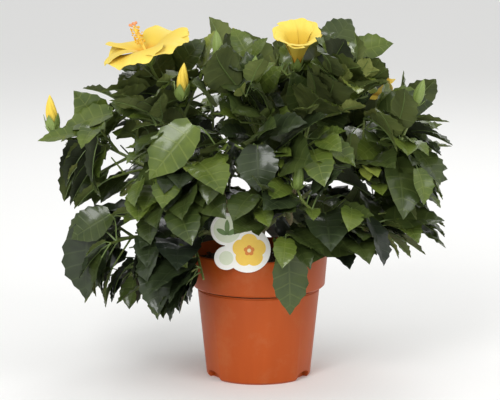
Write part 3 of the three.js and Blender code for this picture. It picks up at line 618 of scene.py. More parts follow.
# %% The rule for leaves
WIDEST_AT, MIDDLE_AT, PETIOLE_RADIUS = 0.38, 0.45, 0.75
SAMPLES = np.array([0.2, 0.4, 0.6, 0.8, 1])[:, None]


def on_spine(leaf, along):
    """Points down the curled spine of a leaf, and the way up from the blade at each."""
    angle = leaf.curl * along
    top = leaf.base + leaf.direction * (leaf.length * np.sin(angle) / leaf.curl)
    top = top - leaf.normal * (leaf.length * (1 - np.cos(angle)) / leaf.curl)
    return top, leaf.normal * np.cos(angle) + leaf.direction * np.sin(angle)


def finish_leaf(leaf):
    """Adds the points, lines and triangles that a leaf is tested by."""
    leaf.side = np.cross(leaf.direction, leaf.normal)
    base = leaf.base + leaf.normal * PETIOLE_RADIUS
    middle, up = on_spine(leaf, WIDEST_AT)
    end, end_up = on_spine(leaf, 1)
    tip = end - end_up * (LEAF_THICKNESS / 2)
    reach = leaf.width / 2
    rise = up * (reach * math.sin(LEAF_FOLD) - LEAF_THICKNESS / 2)
    right, left = (middle + leaf.side * (sign * reach * math.cos(LEAF_FOLD)) + rise for sign in (1, -1))
    stalk = mix(leaf.root, leaf.base, 0.35)
    leaf.lines = np.array([[stalk, base], [base, middle], [middle, tip], [middle, right], [middle, left],
                           [base, right], [right, tip], [base, left], [left, tip]])
    leaf.triangles = np.array([[base, right, middle], [middle, right, tip], [base, left, middle],
                               [middle, left, tip]])
    starts, ends = leaf.lines[:, None, 0], leaf.lines[:, None, 1]
    leaf.points = (starts + (ends - starts) * SAMPLES).reshape(-1, 3)
    leaf.middle = leaf.base + leaf.direction * (leaf.length * MIDDLE_AT)
    return leaf


def plan_leaf(node, along, beside, size, chance, stalk=1.0):
    """A leaf at a point of a twig, on a stalk that may be shorter than a grown leaf's."""
    out = unit(node * (1, 1, 0))
    height = min(1, max(0, (node[2] - CROWN_FOOT) / (CROWN_TOP - CROWN_FOOT)))
    lift = mix(-0.95, 0.3, height) + 0.5 * (chance() - 0.5)
    direction = unit(beside * (0.6 + 0.3 * chance()) + out * 0.5 + along * 0.3 + UP * lift)
    face = out * 0.7 + UP * 0.7 + beside * 0.3 + np.cross(UP, out) * (LEAF_TURN * (chance() - 0.5))
    stalk_way = unit(beside * 0.8 + along * 0.6 + direction * 0.5)
    return finish_leaf(SimpleNamespace(
        root=node, base=node + stalk_way * (PETIOLE_LENGTH * (0.6 + 0.4 * size) * stalk), stalk_way=stalk_way,
        direction=direction, normal=square_to(direction, face), length=LEAF_LENGTH * size,
        width=LEAF_LENGTH * LEAF_WIDTH_SHARE * size, curl=LEAF_CURL * (0.5 + chance()), stretch=1,
        young=False))


print("shares of each line that are tested:", SAMPLES.ravel())

# %% [markdown]
# A few leaves stand out in the photo by their place or size, so they have rows of their own among the
# driving sizes, and the rest of a mass grows round them. Placing all leaves by hand would take days, and
# none would follow when a size is changed. A mass keeps what it has so far, to test the next leaf by.

# %% Leaves with their own places, and what fits beside them
def named_leaves(plan, twigs):
    """The leaves of a mass that stand out in the photo, at their own places."""
    leaves = []
    for mass, base, tip, width, face in NAMED_LEAVES:
        if mass == plan.name:
            base = np.array(base, float)
            span = np.array(tip) - base
            direction, root = unit(span), nearest_on_twigs(twigs, base)[0]
            leaves.append(finish_leaf(SimpleNamespace(
                root=root, base=base, stalk_way=unit(base - root), direction=direction,
                normal=square_to(direction, np.array(face, float)), length=np.linalg.norm(span),
                width=width, curl=LEAF_CURL * 0.3, stretch=1.12, young=False)))
    return leaves


def lines_of(twig):
    """A twig as straight lines, for the test whether a leaf would cross it."""
    points = twig.limb.points(np.arange(twig.steps + 1) / twig.steps)
    return np.stack([points[:-1], points[1:]], 1)


class Mass:
    """The leaves and twigs of one mass so far, and the test whether one more leaf fits among them."""

    def __init__(self, plan, chance):
        self.plan = plan
        self.twigs = grow_twigs(plan, chance)
        self.stalks = [blossom_stalk(item, self.twigs) for item in blossoms if item.mass == plan.name]
        self.twig_lines = np.concatenate([lines_of(twig) for twig in self.twigs + self.stalks])
        self.leaves, self.middles = [], np.empty((0, 3))
        self.lines, self.triangles = np.empty((0, 2, 3)), np.empty((0, 3, 3))
        for leaf in named_leaves(plan, self.twigs):
            self.keep(leaf, 0)

    def keep(self, leaf, spray):
        leaf.spray = spray
        self.leaves.append(leaf)
        self.middles = np.vstack([self.middles, leaf.middle])
        self.lines = np.concatenate([self.lines, leaf.lines])
        self.triangles = np.concatenate([self.triangles, leaf.triangles])

    def fits(self, leaf, crowding):
        gaps = np.linalg.norm(self.middles - leaf.middle, axis=1)
        return ((gaps >= leaf.length * crowding).all() and in_place(leaf.points, self.plan, leaf.stretch)
                and clear_of_windows(leaf.points) and clear_of_limbs(leaf.triangles, leaf.points)
                and not any_pierce(self.twig_lines, leaf.triangles)
                and not any_pierce(self.lines, leaf.triangles)
                and not any_pierce(leaf.lines, self.triangles))


print("leaves with their own places:", len(NAMED_LEAVES))

# %% [markdown]
# Leaves follow each other up a twig in a spiral, each 137.5 degrees further round, smaller towards its tip.
# Where one doesn't fit it is tried again, further round and smaller, as a leaf turns to a free place.

# %% The leaves of the solids
LEAF_CROWDING, LEAF_ATTEMPTS, LAST_LEAF = 0.22, 8, 0.97
TWIG_TURN, RETRY_TURN, RETRY_INWARDS = 47, 65, 0.22


def grow_leaves(mass, chance):
    """Leaves along every twig of a mass, in a spiral."""
    for index, twig in enumerate(mass.twigs):
        first = 0.12 if index == 0 else 0.3
        count = max(2, math.floor(twig.limb.length() * (1 - first) / LEAF_SPACING + 0.5))
        for k in range(count + 1):
            share = first + ((LAST_LEAF - first) * k) / count
            node, along = twig_place(twig, share)
            inwards = unit(mass.plan.centre - node)
            for attempt in range(LEAF_ATTEMPTS):
                turn = math.radians(SPIRAL_ANGLE * k + TWIG_TURN * index + RETRY_TURN * attempt)
                size = mix(1.12, 0.72, share) * (0.86 + 0.3 * chance()) * (1 - 0.06 * attempt)
                beside = unit(around(along, turn) + inwards * (RETRY_INWARDS * attempt))
                leaf = plan_leaf(node, along, beside, size, chance)
                if mass.fits(leaf, LEAF_CROWDING):
                    mass.keep(leaf, index)
                    break


masses = []
for plan in plans:
    chance = seeded(plan.seed)
    mass = Mass(plan, chance)
    grow_leaves(mass, chance)
    masses.append(mass)
print("leaves of the solids, by mass:", [len(mass.leaves) for mass in masses])

# %% [markdown]
# The solids show the two flowers at the front as a plain disc and a cone. The open one really lies almost
# level, and the half-open one leans forward, so that its throat shows. They are turned here, before the
# finer leaves grow, so that those keep clear of them.

# %% How the two front flowers lean
OPEN_FLOWER_FACES, TRUMPET_FACES = (-0.25, -0.16, 0.95), (0.0, -0.5, 0.87)
for blossom, facing in zip(blossoms, (OPEN_FLOWER_FACES, TRUMPET_FACES)):
    blossom.axis = unit(np.array(facing))
print("front flowers turned:", [blossom.kind for blossom in blossoms[:2]])

# %% [markdown]
# The solids stop at side twigs, and at as many leaves as they have room for. A real shoot also has leaves
# down on its bough and many smaller ones between the large ones. They follow the same rule and pass the
# same tests, so the crown keeps its outline and its gaps.

# %% Leaves on the boughs and between the large ones
FINE_ATTEMPTS, SMALLER_BY_TRY = 5, 0.08
BOUGH_STEPS, BOUGH_LEAVES, BOUGH_SPRAY = 8, 14, 40
# rounds of leaves between the large ones: first share of the twig, length of way used, offset of the steps,
# turn, smallest size, spread of sizes, what is added to the spray's number, crowding
ROUNDS = [(0.12, 0.83, 0.5, 70, 0.6, 0.28, 0, 0.1), (0.05, 0.9, 0, 200, 0.5, 0.3, 20, 0.06)]


def try_leaf(mass, twig, share, turn, size, spray, chance, crowding, stalk=1.0, forward=0.0):
    """Tries a leaf at a share of a twig, each time turned further round and a little smaller."""
    node, along = twig_place(twig, share)
    inwards = unit(mass.plan.centre - node)
    for attempt in range(FINE_ATTEMPTS):
        beside = around(along, math.radians(turn + RETRY_TURN * attempt))
        beside = unit(beside + inwards * (RETRY_INWARDS * attempt) + along * forward)
        leaf = plan_leaf(node, along, beside, size * (1 - SMALLER_BY_TRY * attempt), chance, stalk)
        if mass.fits(leaf, crowding):
            mass.keep(leaf, spray)
            return leaf
    return None


def grow_on_bough(mass, chance):
    """Leaves down the bough, below the twigs that the solids show."""
    bough = SimpleNamespace(limb=mass.plan.bough, steps=BOUGH_STEPS)
    for k in range(BOUGH_LEAVES):
        share = mix(0.3, 0.98, k / BOUGH_LEAVES)
        try_leaf(mass, bough, share, SPIRAL_ANGLE * k, 0.75 + 0.3 * chance(), BOUGH_SPRAY, chance, 0.06)


def grow_between(mass, twigs, chance):
    """Two rounds of smaller leaves between the large ones."""
    for first, reach, offset, turned, smallest, spread, added, crowding in ROUNDS:
        for index, twig in enumerate(twigs):
            count = round(twig.limb.length() / LEAF_SPACING) * 2
            for k in range(count):
                share = first + reach * (k + offset) / count
                turn = SPIRAL_ANGLE * k + TWIG_TURN * index + turned
                size = smallest + spread * chance()
                try_leaf(mass, twig, share, turn, size, index + added, chance, crowding)


print("rounds of smaller leaves:", len(ROUNDS))

# %% [markdown]
# Short twigs on the side twigs fill the crown from within, and every tip carries young leaves, small and
# close to the twig. They come last, so that they only take what room is left.

# %% Fine twigs and young leaves
FINE_SEED, YOUNG_ABOVE = 500, 190
FINE_TWIG_LENGTH, FINE_TWIG_SHARES, FINE_LEAF_SHARES, FINE_SPRAY = 30, (0.35, 0.7), (0.35, 0.6, 0.85), 10


def grow_fine_twigs(mass, twigs, chance):
    """Short twigs on the side twigs, with three leaves each."""
    for index, twig in enumerate(twigs):
        for share in FINE_TWIG_SHARES:
            node, along = twig_place(twig, share)
            length, turn = FINE_TWIG_LENGTH * (0.8 + 0.4 * chance()), 360 * chance()
            limb = grow_side_twig(mass.plan, node, along, math.radians(turn), length)
            fine = limb and SimpleNamespace(limb=limb, steps=TWIG_STEPS, order=2)
            if fine and not any_pierce(lines_of(fine), mass.triangles):
                mass.twigs.append(fine)
                mass.twig_lines = np.concatenate([mass.twig_lines, lines_of(fine)])
                for k, place in enumerate(FINE_LEAF_SHARES):
                    size, spray = 0.7 - 0.08 * k + 0.12 * chance(), index + FINE_SPRAY
                    try_leaf(mass, fine, place, SPIRAL_ANGLE * k + turn, size, spray, chance, 0.1, 0.8)


def grow_young(mass, chance):
    """Young leaves at every tip: three high up and one low down."""
    for index, twig in enumerate(mass.twigs):
        for k in range(3 if twig.limb.knots[-1][2] > YOUNG_ABOVE else 1):
            size = 0.44 - 0.09 * k + 0.08 * chance()
            turn = SPIRAL_ANGLE * k + 90 * chance()
            leaf = try_leaf(mass, twig, LAST_LEAF, turn, size, index, chance, 0.02, 0.45, 1.1)
            if leaf:
                leaf.young = True


for mass in masses:
    chance = seeded(mass.plan.seed + FINE_SEED)
    main_twigs = list(mass.twigs)
    grow_on_bough(mass, chance)
    grow_between(mass, main_twigs, chance)
    grow_fine_twigs(mass, main_twigs[1:], chance)
    grow_young(mass, chance)
leaves = [leaf for mass in masses for leaf in mass.leaves]
print("leaves in all:", len(leaves), "twigs:", sum(len(mass.twigs) for mass in masses),
      "young:", sum(leaf.young for leaf in leaves))

# %% [markdown]
# A finished piece gets its material, the body that it moves with, and the solids that it stands for. A pot in
# one piece with a plant has one body, named root. Steps that many pieces share, in Edit Mode or by a
# modifier, have a helper each.

# %% Helpers for pieces
SEWN_WITHIN = 1e-6
SEW = (bpy.ops.mesh.remove_doubles, {"threshold": SEWN_WITHIN})
FACE_OUT = (bpy.ops.mesh.normals_make_consistent, {"inside": False})


def only(piece):
    """Selects one object alone."""
    bpy.ops.object.select_all(action="DESELECT")
    piece.select_set(True)
    bpy.context.view_layer.objects.active = piece
    return piece


def edit(piece, *steps):
    """Runs mesh operators in Edit Mode, each on all of a piece."""
    only(piece)
    bpy.ops.object.mode_set(mode="EDIT")
    for operator, settings in steps:
        bpy.ops.mesh.select_all(action="SELECT")
        operator(**settings)
    bpy.ops.object.mode_set(mode="OBJECT")
    return piece


def modify(piece, kind, **settings):
    """Gives a piece a modifier and applies it."""
    only(piece)
    modifier = piece.modifiers.new("step", kind)
    for key, value in settings.items():
        setattr(modifier, key, value)
    bpy.ops.object.modifier_apply(modifier=modifier.name)
    return piece


def weld(piece):
    """Sews points that share a place, such as those of a tube and its cap, and drops faces with no area."""
    return edit(piece, SEW, (bpy.ops.mesh.dissolve_degenerate, {"threshold": SEWN_WITHIN}))


def mesh_piece(name, vertices, faces):
    """An object with a mesh of its own, from vertices in millimetres."""
    mesh = bpy.data.meshes.new(name)
    mesh.from_pydata((np.asarray(vertices) * MM).tolist(), [], faces)
    piece = bpy.data.objects.new(name, mesh)
    bpy.context.scene.collection.objects.link(piece)
    return only(piece)


def copies_piece(name, copies, pattern):
    """One mesh of many copies of a form: the points of every copy, and the faces that each of them has."""
    starts = copies.shape[1] * np.arange(len(copies))
    faces = (np.asarray(pattern) + starts[:, None, None]).reshape(-1, len(pattern[0]))
    return mesh_piece(name, copies.reshape(-1, 3), faces.tolist())


def join(pieces, name):
    """Joins pieces to one mesh."""
    only(pieces[0])
    for piece in pieces:
        piece.select_set(True)
    if len(pieces) > 1:
        bpy.ops.object.join()
    pieces[0].name = pieces[0].data.name = name
    return pieces[0]


def hand_over(piece, nodes=(), sharp=40):
    """Shades a finished piece, seats it on the plant's body and says which solids it stands for."""
    only(piece)
    bpy.ops.object.shade_smooth_by_angle(angle=math.radians(sharp))
    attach(piece, "root")
    if nodes:
        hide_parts(*nodes)
    print(piece.name, "faces:", len(piece.data.polygons))


foliage_nodes = ["foliage_" + plan.name for plan in plans]
print("masses of leaves that the finer plant stands for:", len(foliage_nodes))

# %% [markdown]
# A hibiscus leaf is egg-shaped with a drawn-out tip and coarse teeth. It is folded along its midrib, and the
# skin swells a little between the side veins. The leaf is modelled once, flat, from a grid whose cross rows
# slant towards the edge as side veins do: odd rows stand up and end in a tooth, even rows sink as veins.

# %% One leaf, modelled flat
ROWS, COLUMNS = 12, 4
TOOTH, PUCKER, HUMP, SLANT = 0.045, 0.02, 0.045, 0.1


def half_width(along):
    """Half the blade's width at a share of its length, as a share of its full width."""
    return 0.5 * math.sin(math.pi * (0.05 + 0.95 * along) ** 0.68) * (1 - 0.25 * max(0, along - 0.6) / 0.4)


bpy.ops.mesh.primitive_grid_add(x_subdivisions=COLUMNS, y_subdivisions=ROWS, size=1)
flat_leaf = bpy.context.object
flat_uv = []
for vertex in flat_leaf.data.vertices:
    across, along = vertex.co.x * 2, vertex.co.y + 0.5
    beside, bulge = abs(across), 1 if round(along * ROWS) % 2 else -1
    inner = math.sin(math.pi * along)
    tooth = 1 + TOOTH * bulge * (beside > 0.9) * (0.05 < along < 0.97)
    rise = HUMP * math.sin(math.pi * beside) * inner + PUCKER * bulge * (beside > 0.1) * inner ** 0.5
    forward = along + SLANT * beside * inner - 0.03 * beside * (1 - along) ** 8
    vertex.co = (across * half_width(along) * tooth, forward, rise)
    flat_uv.append((across / 2 + 0.5, along))
flat_points = np.array([vertex.co for vertex in flat_leaf.data.vertices])
tip_row = [i for i, (_, along) in enumerate(flat_uv) if along > 0.999]
single_tip = {i: tip_row[COLUMNS // 2] for i in tip_row}
flat_faces = []
for face in flat_leaf.data.polygons:
    corners = list(dict.fromkeys(single_tip.get(i, i) for i in face.vertices))
    flat_faces.append(corners)
bpy.data.objects.remove(flat_leaf)
edge_count = {}
for corners in flat_faces:
    for pair in zip(corners, corners[1:] + corners[:1]):
        key = tuple(sorted(pair))
        edge_count[key] = edge_count.get(key, 0) + 1
rim = {i for key, count in edge_count.items() if count == 1 for i in key}
print("flat leaf:", len(flat_faces), "faces, rim points:", len(rim))

# %% [markdown]
# Each leaf is a copy of the flat one, bent along its own spine: folded, curled towards the tip, twisted and
# waved at the margin by chance. Thousands of copies by a modifier would be slow and all alike, so the copies
# are worked out as arrays. A lower skin that shares the rim makes every leaf a thin closed body. Both skins
# are split into the same triangles, so that a bent face of one never cuts the other.

# %% Copies of the leaf, bent
SKIN, LEAF_TWIST = 0.42, 0.7
inner_points = [i for i in range(len(flat_points)) if i not in rim and i not in tip_row]
used_points = sorted({i for corners in flat_faces for i in corners})
lower_of = {point: len(used_points) + k for k, point in enumerate(inner_points)}
upper_of = {point: k for k, point in enumerate(used_points)}
lower_of.update({point: upper_of[point] for point in rim})


def split_face(corners):
    """The triangles of a face, cut so that none has all its corners on the rim, where both skins meet."""
    if set(corners[:3]) <= rim:
        corners = corners[1:] + corners[:1]
    return [[corners[0], corners[k], corners[k + 1]] for k in range(1, len(corners) - 1)]


flat_thirds = [third for corners in flat_faces for third in split_face(corners)]
upper_faces = np.array([[upper_of[i] for i in corners] for corners in flat_thirds])
lower_faces = np.array([[lower_of[i] for i in corners[::-1]] for corners in flat_thirds])


def bent(copies, chance):
    """Vertices of bent copies of the flat leaf, upper skin first and then the lower one's inner points."""
    every = SimpleNamespace()
    for name in ("base", "direction", "normal", "side", "length", "width", "curl"):
        values = np.array([getattr(leaf, name) for leaf in copies])
        setattr(every, name, values.reshape(len(copies), 1, -1))
    across, along, rise = (flat_points[:, i][None, :, None] for i in range(3))
    draws = np.array([[chance() for _ in range(3)] for _ in copies])[..., None, None]
    spine, up = on_spine(every, along)
    twist = (draws[:, 0] - 0.5) * LEAF_TWIST * along
    over = every.side * np.cos(twist) + up * np.sin(twist)
    up = up * np.cos(twist) - every.side * np.sin(twist)
    wave = np.sin(2 * math.pi * (1.6 * along + draws[:, 1])) * across ** 2 * (0.08 + 0.2 * draws[:, 2])
    lift = np.abs(across) * math.sin(LEAF_FOLD) + rise + wave * np.sign(across)
    upper = spine + over * (across * every.width * math.cos(LEAF_FOLD)) + up * (lift * every.width)
    lower = upper - up * SKIN
    return np.concatenate([upper[:, used_points], lower[:, inner_points]], 1)


def leaf_piece(name, leaves_of_tone, upper_finish, lower_finish, chance):
    """One mesh of many leaves, with an upper and a lower finish and each leaf laid flat in the UV map."""
    vertices = bent(leaves_of_tone, chance)
    piece = copies_piece(name, vertices, np.concatenate([upper_faces, lower_faces]))
    piece.data.materials.append(upper_finish)
    piece.data.materials.append(lower_finish)
    skins = np.tile([0] * len(upper_faces) + [1] * len(lower_faces), len(vertices))
    piece.data.polygons.foreach_set("material_index", skins)
    corner_points = np.empty(len(piece.data.loops), int)
    piece.data.loops.foreach_get("vertex_index", corner_points)
    places = np.array([flat_uv[i] for i in used_points + inner_points])
    piece.data.uv_layers.new(name="leaf")
    piece.data.uv_layers["leaf"].data.foreach_set("uv", places[corner_points % vertices.shape[1]].ravel())
    return piece


print("points on one leaf:", len(used_points) + len(inner_points))

# %% [markdown]
# The finish of a leaf is a waxy skin over green tissue: dark and glossy above, paler and dull below. The
# midrib and the side veins are a little lighter. They follow the leaf's own UV map, with six side veins to
# each half as in the mesh. Colour has its place by spray, so each tone is a plain pair of greens in soft
# blotches. A photo of a leaf would also do, but it brings its own light and gives all leaves the same marks.

# %% Finishes of the leaves
BLOTCH, CELLS, VEIN_SHARE = 22, 1.5, 0.45
UPPER_ROUGHNESS, UPPER_WAX, LOWER_ROUGHNESS, LOWER_WAX = 0.34, 0.35, 0.6, 0.0


def leaf_finish(name, light, dark, vein, roughness, wax):
    """A leaf skin: two greens in blotches, a lighter midrib and side veins, and their relief."""
    skin = Finish(name, {"Roughness": roughness, "IOR": 1.45, "Specular IOR Level": 0.25,
                         "Coat Weight": wax, "Coat Roughness": 0.16})
    green = skin.blend(skin.ramp(skin.noise(BLOTCH, 3), 0.35, 0.65), dark, light)
    along, across = (skin.node("SeparateXYZ", axis, {"Vector": skin.uv}) for axis in "YX")
    from_vein = skin.maths("PINGPONG", skin.maths("MULTIPLY", along, ROWS / 2), 0.5)
    side_vein = skin.ramp(from_vein, 0.09, 0.03)
    midrib = skin.ramp(skin.maths("PINGPONG", across, 0.5), 0.46, 0.49)
    line = skin.maths("MAXIMUM", side_vein, midrib)
    veined = skin.blend(skin.maths("MULTIPLY", line, VEIN_SHARE), green, vein)
    return skin.done(veined, skin.maths("MULTIPLY_ADD", skin.noise(CELLS), 0.25, line), 0.5, 0.3)


# tone: upper light, upper dark, vein, lower light, lower dark
# the deep and dark greens go to leaves low down and inside the crown, and are partly painted shade
TONES = {
    "deep": ("#252d20", "#1a2119", "#323b2b", "#3c4235", "#2f342a"),
    "dark": ("#313c23", "#232c1a", "#404b2e", "#49503d", "#3a4030"),
    "middle": ("#434f25", "#313e1c", "#556132", "#5b6437", "#485130"),
    "fresh": ("#5c6b29", "#465622", "#717d3a", "#6f7944", "#5a6636"),
    "young": ("#7f8a3a", "#63722e", "#979e57", "#8e9454", "#757f42"),
}
leaf_finishes = {}
for tone, (light, dark, vein, under_light, under_dark) in TONES.items():
    leaf_finishes[tone] = (
        leaf_finish("waxy_leaf_upper_" + tone, light, dark, vein, UPPER_ROUGHNESS, UPPER_WAX),
        leaf_finish("dull_leaf_lower_" + tone, under_light, under_dark, vein, LOWER_ROUGHNESS, LOWER_WAX))
print("leaf finishes:", len(leaf_finishes) * 2)

# %% [markdown]
# Leaves of one spray are of one age, so a tone is drawn for each spray: fresh high up and outside, deep low
# down and inside, with some chance. The darker tones low down and inside are partly the older leaves' own
# colour and partly painted shade, where the crown shades itself. Young leaves at the tips are palest.

# %% The leaves, dealt out by spray
def tone_by_age_and_shade(leaf, luck):
    """The tone of a leaf: by its height, how far out it grows, and its spray's luck, with painted shade low
    and inside.
    """
    if leaf.young:
        return "young" if luck > 0.55 and leaf.base[2] > 170 else "fresh"
    # lower and further in gives a darker tone: partly the older leaves' own colour, partly painted shade
    height = (leaf.middle[2] - CROWN_FOOT) / (CROWN_TOP - CROWN_FOOT)
    outness = math.hypot(leaf.middle[0] / CROWN_HALF_WIDTH, leaf.middle[1] / CROWN_HALF_DEPTH)
    age_and_shade_score = 0.5 * height + 0.25 * outness + 0.5 * (luck - 0.5) + 0.12 * (leaf.length < 45)
    return "deep" if age_and_shade_score < 0.22 else "dark" if age_and_shade_score < 0.42 else "middle" if age_and_shade_score < 0.66 else "fresh"


luck_of_sprays = seeded(321)
dealt = {tone: [] for tone in TONES}
for mass in masses:
    luck = {}
    for leaf in mass.leaves:
        if leaf.spray not in luck:
            luck[leaf.spray] = luck_of_sprays()
        dealt[tone_by_age_and_shade(leaf, luck[leaf.spray])].append(leaf)
shape_chance = seeded(654)
for tone, copies in dealt.items():
    piece = leaf_piece("leaves_" + tone, copies, *leaf_finishes[tone], shape_chance)
    hand_over(piece, foliage_nodes, 60)

# %% [markdown]
# Stalks, midribs and green twigs are round, and each tapers its own way. A curve with a radius at each of
# its points is the plain tool for them: all of one kind are strands of one curve, which becomes one mesh.
# The twigs keep to the straight steps that their leaves were placed on, and swell a little twice in each.

# %% Green twigs, leaf stalks and midribs
MIDRIB_SHARES = np.array([0.1, 0.25, 0.42, 0.6, 0.76, 0.9])
# five radii down the stalk, then six down the midrib
STALK_RADII = np.array([1.0, 0.78, 0.72, 0.74, 0.86, 0.62, 0.55, 0.48, 0.4, 0.32, 0.2])
# radius of a twig at its root and its tip, by order, and of a blossom's stalk
TWIG_RADII = {0: (1.6, 1.1), 1: (1.45, 0.95), 2: (1.0, 0.6)}
BLOSSOM_STALK_RADII = (1.2, 1.3)


def strands(name, runs, roundness):
    """One mesh of many tapering strands: each run is its points and radii in millimetres."""
    curve = bpy.data.curves.new(name, "CURVE")
    curve.dimensions = "3D"
    curve.bevel_depth = MM
    curve.bevel_resolution = roundness
    curve.use_fill_caps = True
    for points, radii in runs:
        spline = curve.splines.new("POLY")
        spline.points.add(len(points) - 1)
        flat = np.concatenate([np.asarray(points) * MM, np.ones((len(points), 1))], 1)
        spline.points.foreach_set("co", flat.ravel())
        spline.points.foreach_set("radius", np.asarray(radii, float))
    piece = bpy.data.objects.new(name, curve)
    bpy.context.scene.collection.objects.link(piece)
    only(piece)
    bpy.ops.object.convert(target="MESH")
    return weld(bpy.context.object)


def stalk_run(leaf):
    """A leaf's stalk, arched from its twig to the blade, and on as the midrib to near the tip."""
    span = np.linalg.norm(leaf.base - leaf.root)
    arch = Limb(leaf.root, unit(leaf.stalk_way + UP * 0.25), leaf.base, unit(leaf.direction + leaf.stalk_way))
    stalk = arch.points(np.linspace(0, 1, 5))
    rib = on_spine(leaf, MIDRIB_SHARES[:, None])[0] - leaf.normal * (SKIN + 0.15)
    thick = min(1, 0.45 + leaf.length / 110) * (1 if span > 1 else 0.8)
    return np.concatenate([stalk, rib]), STALK_RADII * thick


def twig_run(twig, root, tip, parts=4):
    """A green twig along its straight steps, with two small swellings in each."""
    knots = twig.limb.points(np.arange(twig.steps + 1) / twig.steps)
    shares = np.linspace(0, twig.steps, twig.steps * parts + 1)
    steps = np.minimum(shares.astype(int), twig.steps - 1)
    points = knots[steps] + (knots[steps + 1] - knots[steps]) * (shares - steps)[:, None]
    radii = np.linspace(root, tip, len(points)) * (1 + 0.12 * (np.arange(len(points)) % 2))
    return points, radii


twig_runs = [twig_run(twig, *TWIG_RADII[twig.order]) for mass in masses for twig in mass.twigs]
twig_runs += [twig_run(twig, *BLOSSOM_STALK_RADII) for mass in masses for twig in mass.stalks]
twigs_piece = strands("green_twigs", twig_runs, 2)
stalks_piece = strands("leaf_stalks", [stalk_run(leaf) for leaf in leaves], 1)
print("strands of twigs:", len(twig_runs), "and of leaf stalks:", len(leaves))

# %% [markdown]
# Young shoots of hibiscus are smooth and green with a fine cork freckle, and their stalks are paler. Both
# are living tissue with a soft sheen, so one function makes them from two greens and a freckle of cork.

# %% Finishes of the green wood
def shoot_finish(name, light, dark, cork, freckle):
    """Green shoot skin: two greens along soft noise, with cork freckles of a size in millimetres."""
    skin = Finish(name, {"Roughness": 0.5})
    green = skin.blend(skin.noise(30, 4), dark, light)
    spots = skin.node("TexVoronoi", "Distance", {"Vector": skin.place, "Scale": 1 / (freckle * MM)})
    dots = skin.ramp(spots, 0.25, 0.12)
    return skin.done(skin.blend(dots, green, cork), dots, 0.4, 0.2)


twigs_piece.data.materials.append(
    shoot_finish("green_shoot_skin_with_cork", "#78873f", "#586a33", "#8f8258", 2.5))
stalks_piece.data.materials.append(
    shoot_finish("pale_leaf_stalk_skin", "#6f8446", "#586c37", "#868c58", 1.6))
hand_over(twigs_piece)
hand_over(stalks_piece)

# %% [markdown]
# Stems and boughs have thin grey-brown bark with fine upright cracks, small cork warts and a ring at each
# old leaf scar. Their solids give place and size. The bark's relief is real here: a close tube, then one
# Displace modifier for the cracks and one for the warts.

# %% Bark
SCAR_SPACING, SCAR_SWELL, SCAR_LENGTH, BARK_STEP = 17, 0.1, 1.5, 1.4
# kind of texture, its grain and its strength in millimetres
BARK_RELIEF = [("CLOUDS", 2.2, 0.5), ("VORONOI", 2.8, 0.25)]


def bark_run(limb, radius_at):
    """Close points along a limb, swelling at each leaf scar."""
    count = max(12, round(limb.length() / BARK_STEP))
    shares = np.linspace(0, 1, count + 1)
    places = shares * limb.length()
    swell = np.exp(-(((places % SCAR_SPACING) - SCAR_SPACING / 2) / SCAR_LENGTH) ** 2)
    return limb.points(shares), radius_at(shares) * (1 + SCAR_SWELL * swell)


def bark_piece(name, limb, radius_at, finish):
    """A limb's bark, which stands for the solid of the same name."""
    piece = strands("bark_" + name, [bark_run(limb, radius_at)], 8)
    for kind, grain, strength in BARK_RELIEF:
        texture = bpy.data.textures.new(kind.lower(), kind)
        texture.noise_scale = grain * MM
        modify(piece, "DISPLACE", texture=texture, texture_coords="LOCAL", strength=strength * MM,
               mid_level=0.5)
        bpy.data.textures.remove(texture)
    piece.data.materials.append(finish)
    hand_over(piece, [name])


def bark_finish(name, light, dark, crack):
    """Thin young bark: two browns in upright streaks, darker cracks, a dull skin."""
    skin = Finish(name, {"Roughness": 0.8})
    streak = skin.noise(1.8, 5, skin.stretched(skin.place, (1, 1, 0.18)))
    cracked = skin.blend(skin.ramp(streak, 0.42, 0.34), skin.blend(streak, dark, light), crack)
    return skin.done(cracked, streak, 0.6, 0.3)


old_bark = bark_finish("grey_brown_bark_dull", "#b3a680", "#847656", "#5b4d38")
green_bark = bark_finish("green_brown_young_bark", "#9ea66c", "#7a8153", "#60603d")
for name, stem in stems.items():
    bark_piece("stem_" + name, stem, stem_radius, old_bark)
for plan in plans:
    radius_at = lambda share, plan=plan: bough_radius(plan, share)
    bark_piece("bough_" + plan.name, plan.bough, radius_at, green_bark)

# %% [markdown]
# Hard things such as the pot and the label are made as in a workshop: turned on a lathe, cut and joined,
# and softened at the edges. Bevels are applied last, when all cuts are there. A subdivided mesh would also
# be smooth, but it rounds what has to stay crisp.

# %% Helpers for hard things
def spun(name, profile, steps):
    """A closed solid turned round the Z axis from a profile of radius and height in millimetres."""
    bpy.ops.object.select_all(action="DESELECT")
    bpy.ops.mesh.primitive_circle_add(vertices=len(profile), radius=1)
    piece = bpy.context.object
    piece.name = piece.data.name = name
    for vertex, (radius, height) in zip(piece.data.vertices, profile):
        vertex.co = (radius * MM, 0, height * MM)
    spin = {"steps": steps, "angle": math.tau, "center": (0, 0, 0), "axis": (0, 0, 1)}
    loose = {"use_verts": True, "use_edges": True, "use_faces": False}
    return edit(piece, (bpy.ops.mesh.spin, spin), SEW, (bpy.ops.mesh.delete_loose, loose), FACE_OUT)


def combine(piece, tools, operation):
    """Cuts the tools out of a piece, or joins them to it, and removes the tools."""
    for tool in tools:
        modify(piece, "BOOLEAN", operation=operation, solver="EXACT", object=tool)
        bpy.data.objects.remove(tool)
    return piece


def soften(piece, width, over=35):
    """Rounds the edges of a piece that are sharper than an angle."""
    return modify(piece, "BEVEL", width=width * MM, segments=2, limit_method="ANGLE",
                  angle_limit=math.radians(over), use_clamp_overlap=True)


# %% [markdown]
# The pot is a nursery pot, moulded in one shot: a thin wall, a stepped collar with a groove under it, which
# shows as a dark line, and three drain arches round the foot, where the wall bends inwards. A spun profile
# gives the round forms with crisp steps. The arches are cut by booleans, with grown copies left standing as
# their lining, and a bevel softens the edges as a mould does. A lathe alone couldn't make the arches, and a
# bent sheet would lose the even wall.

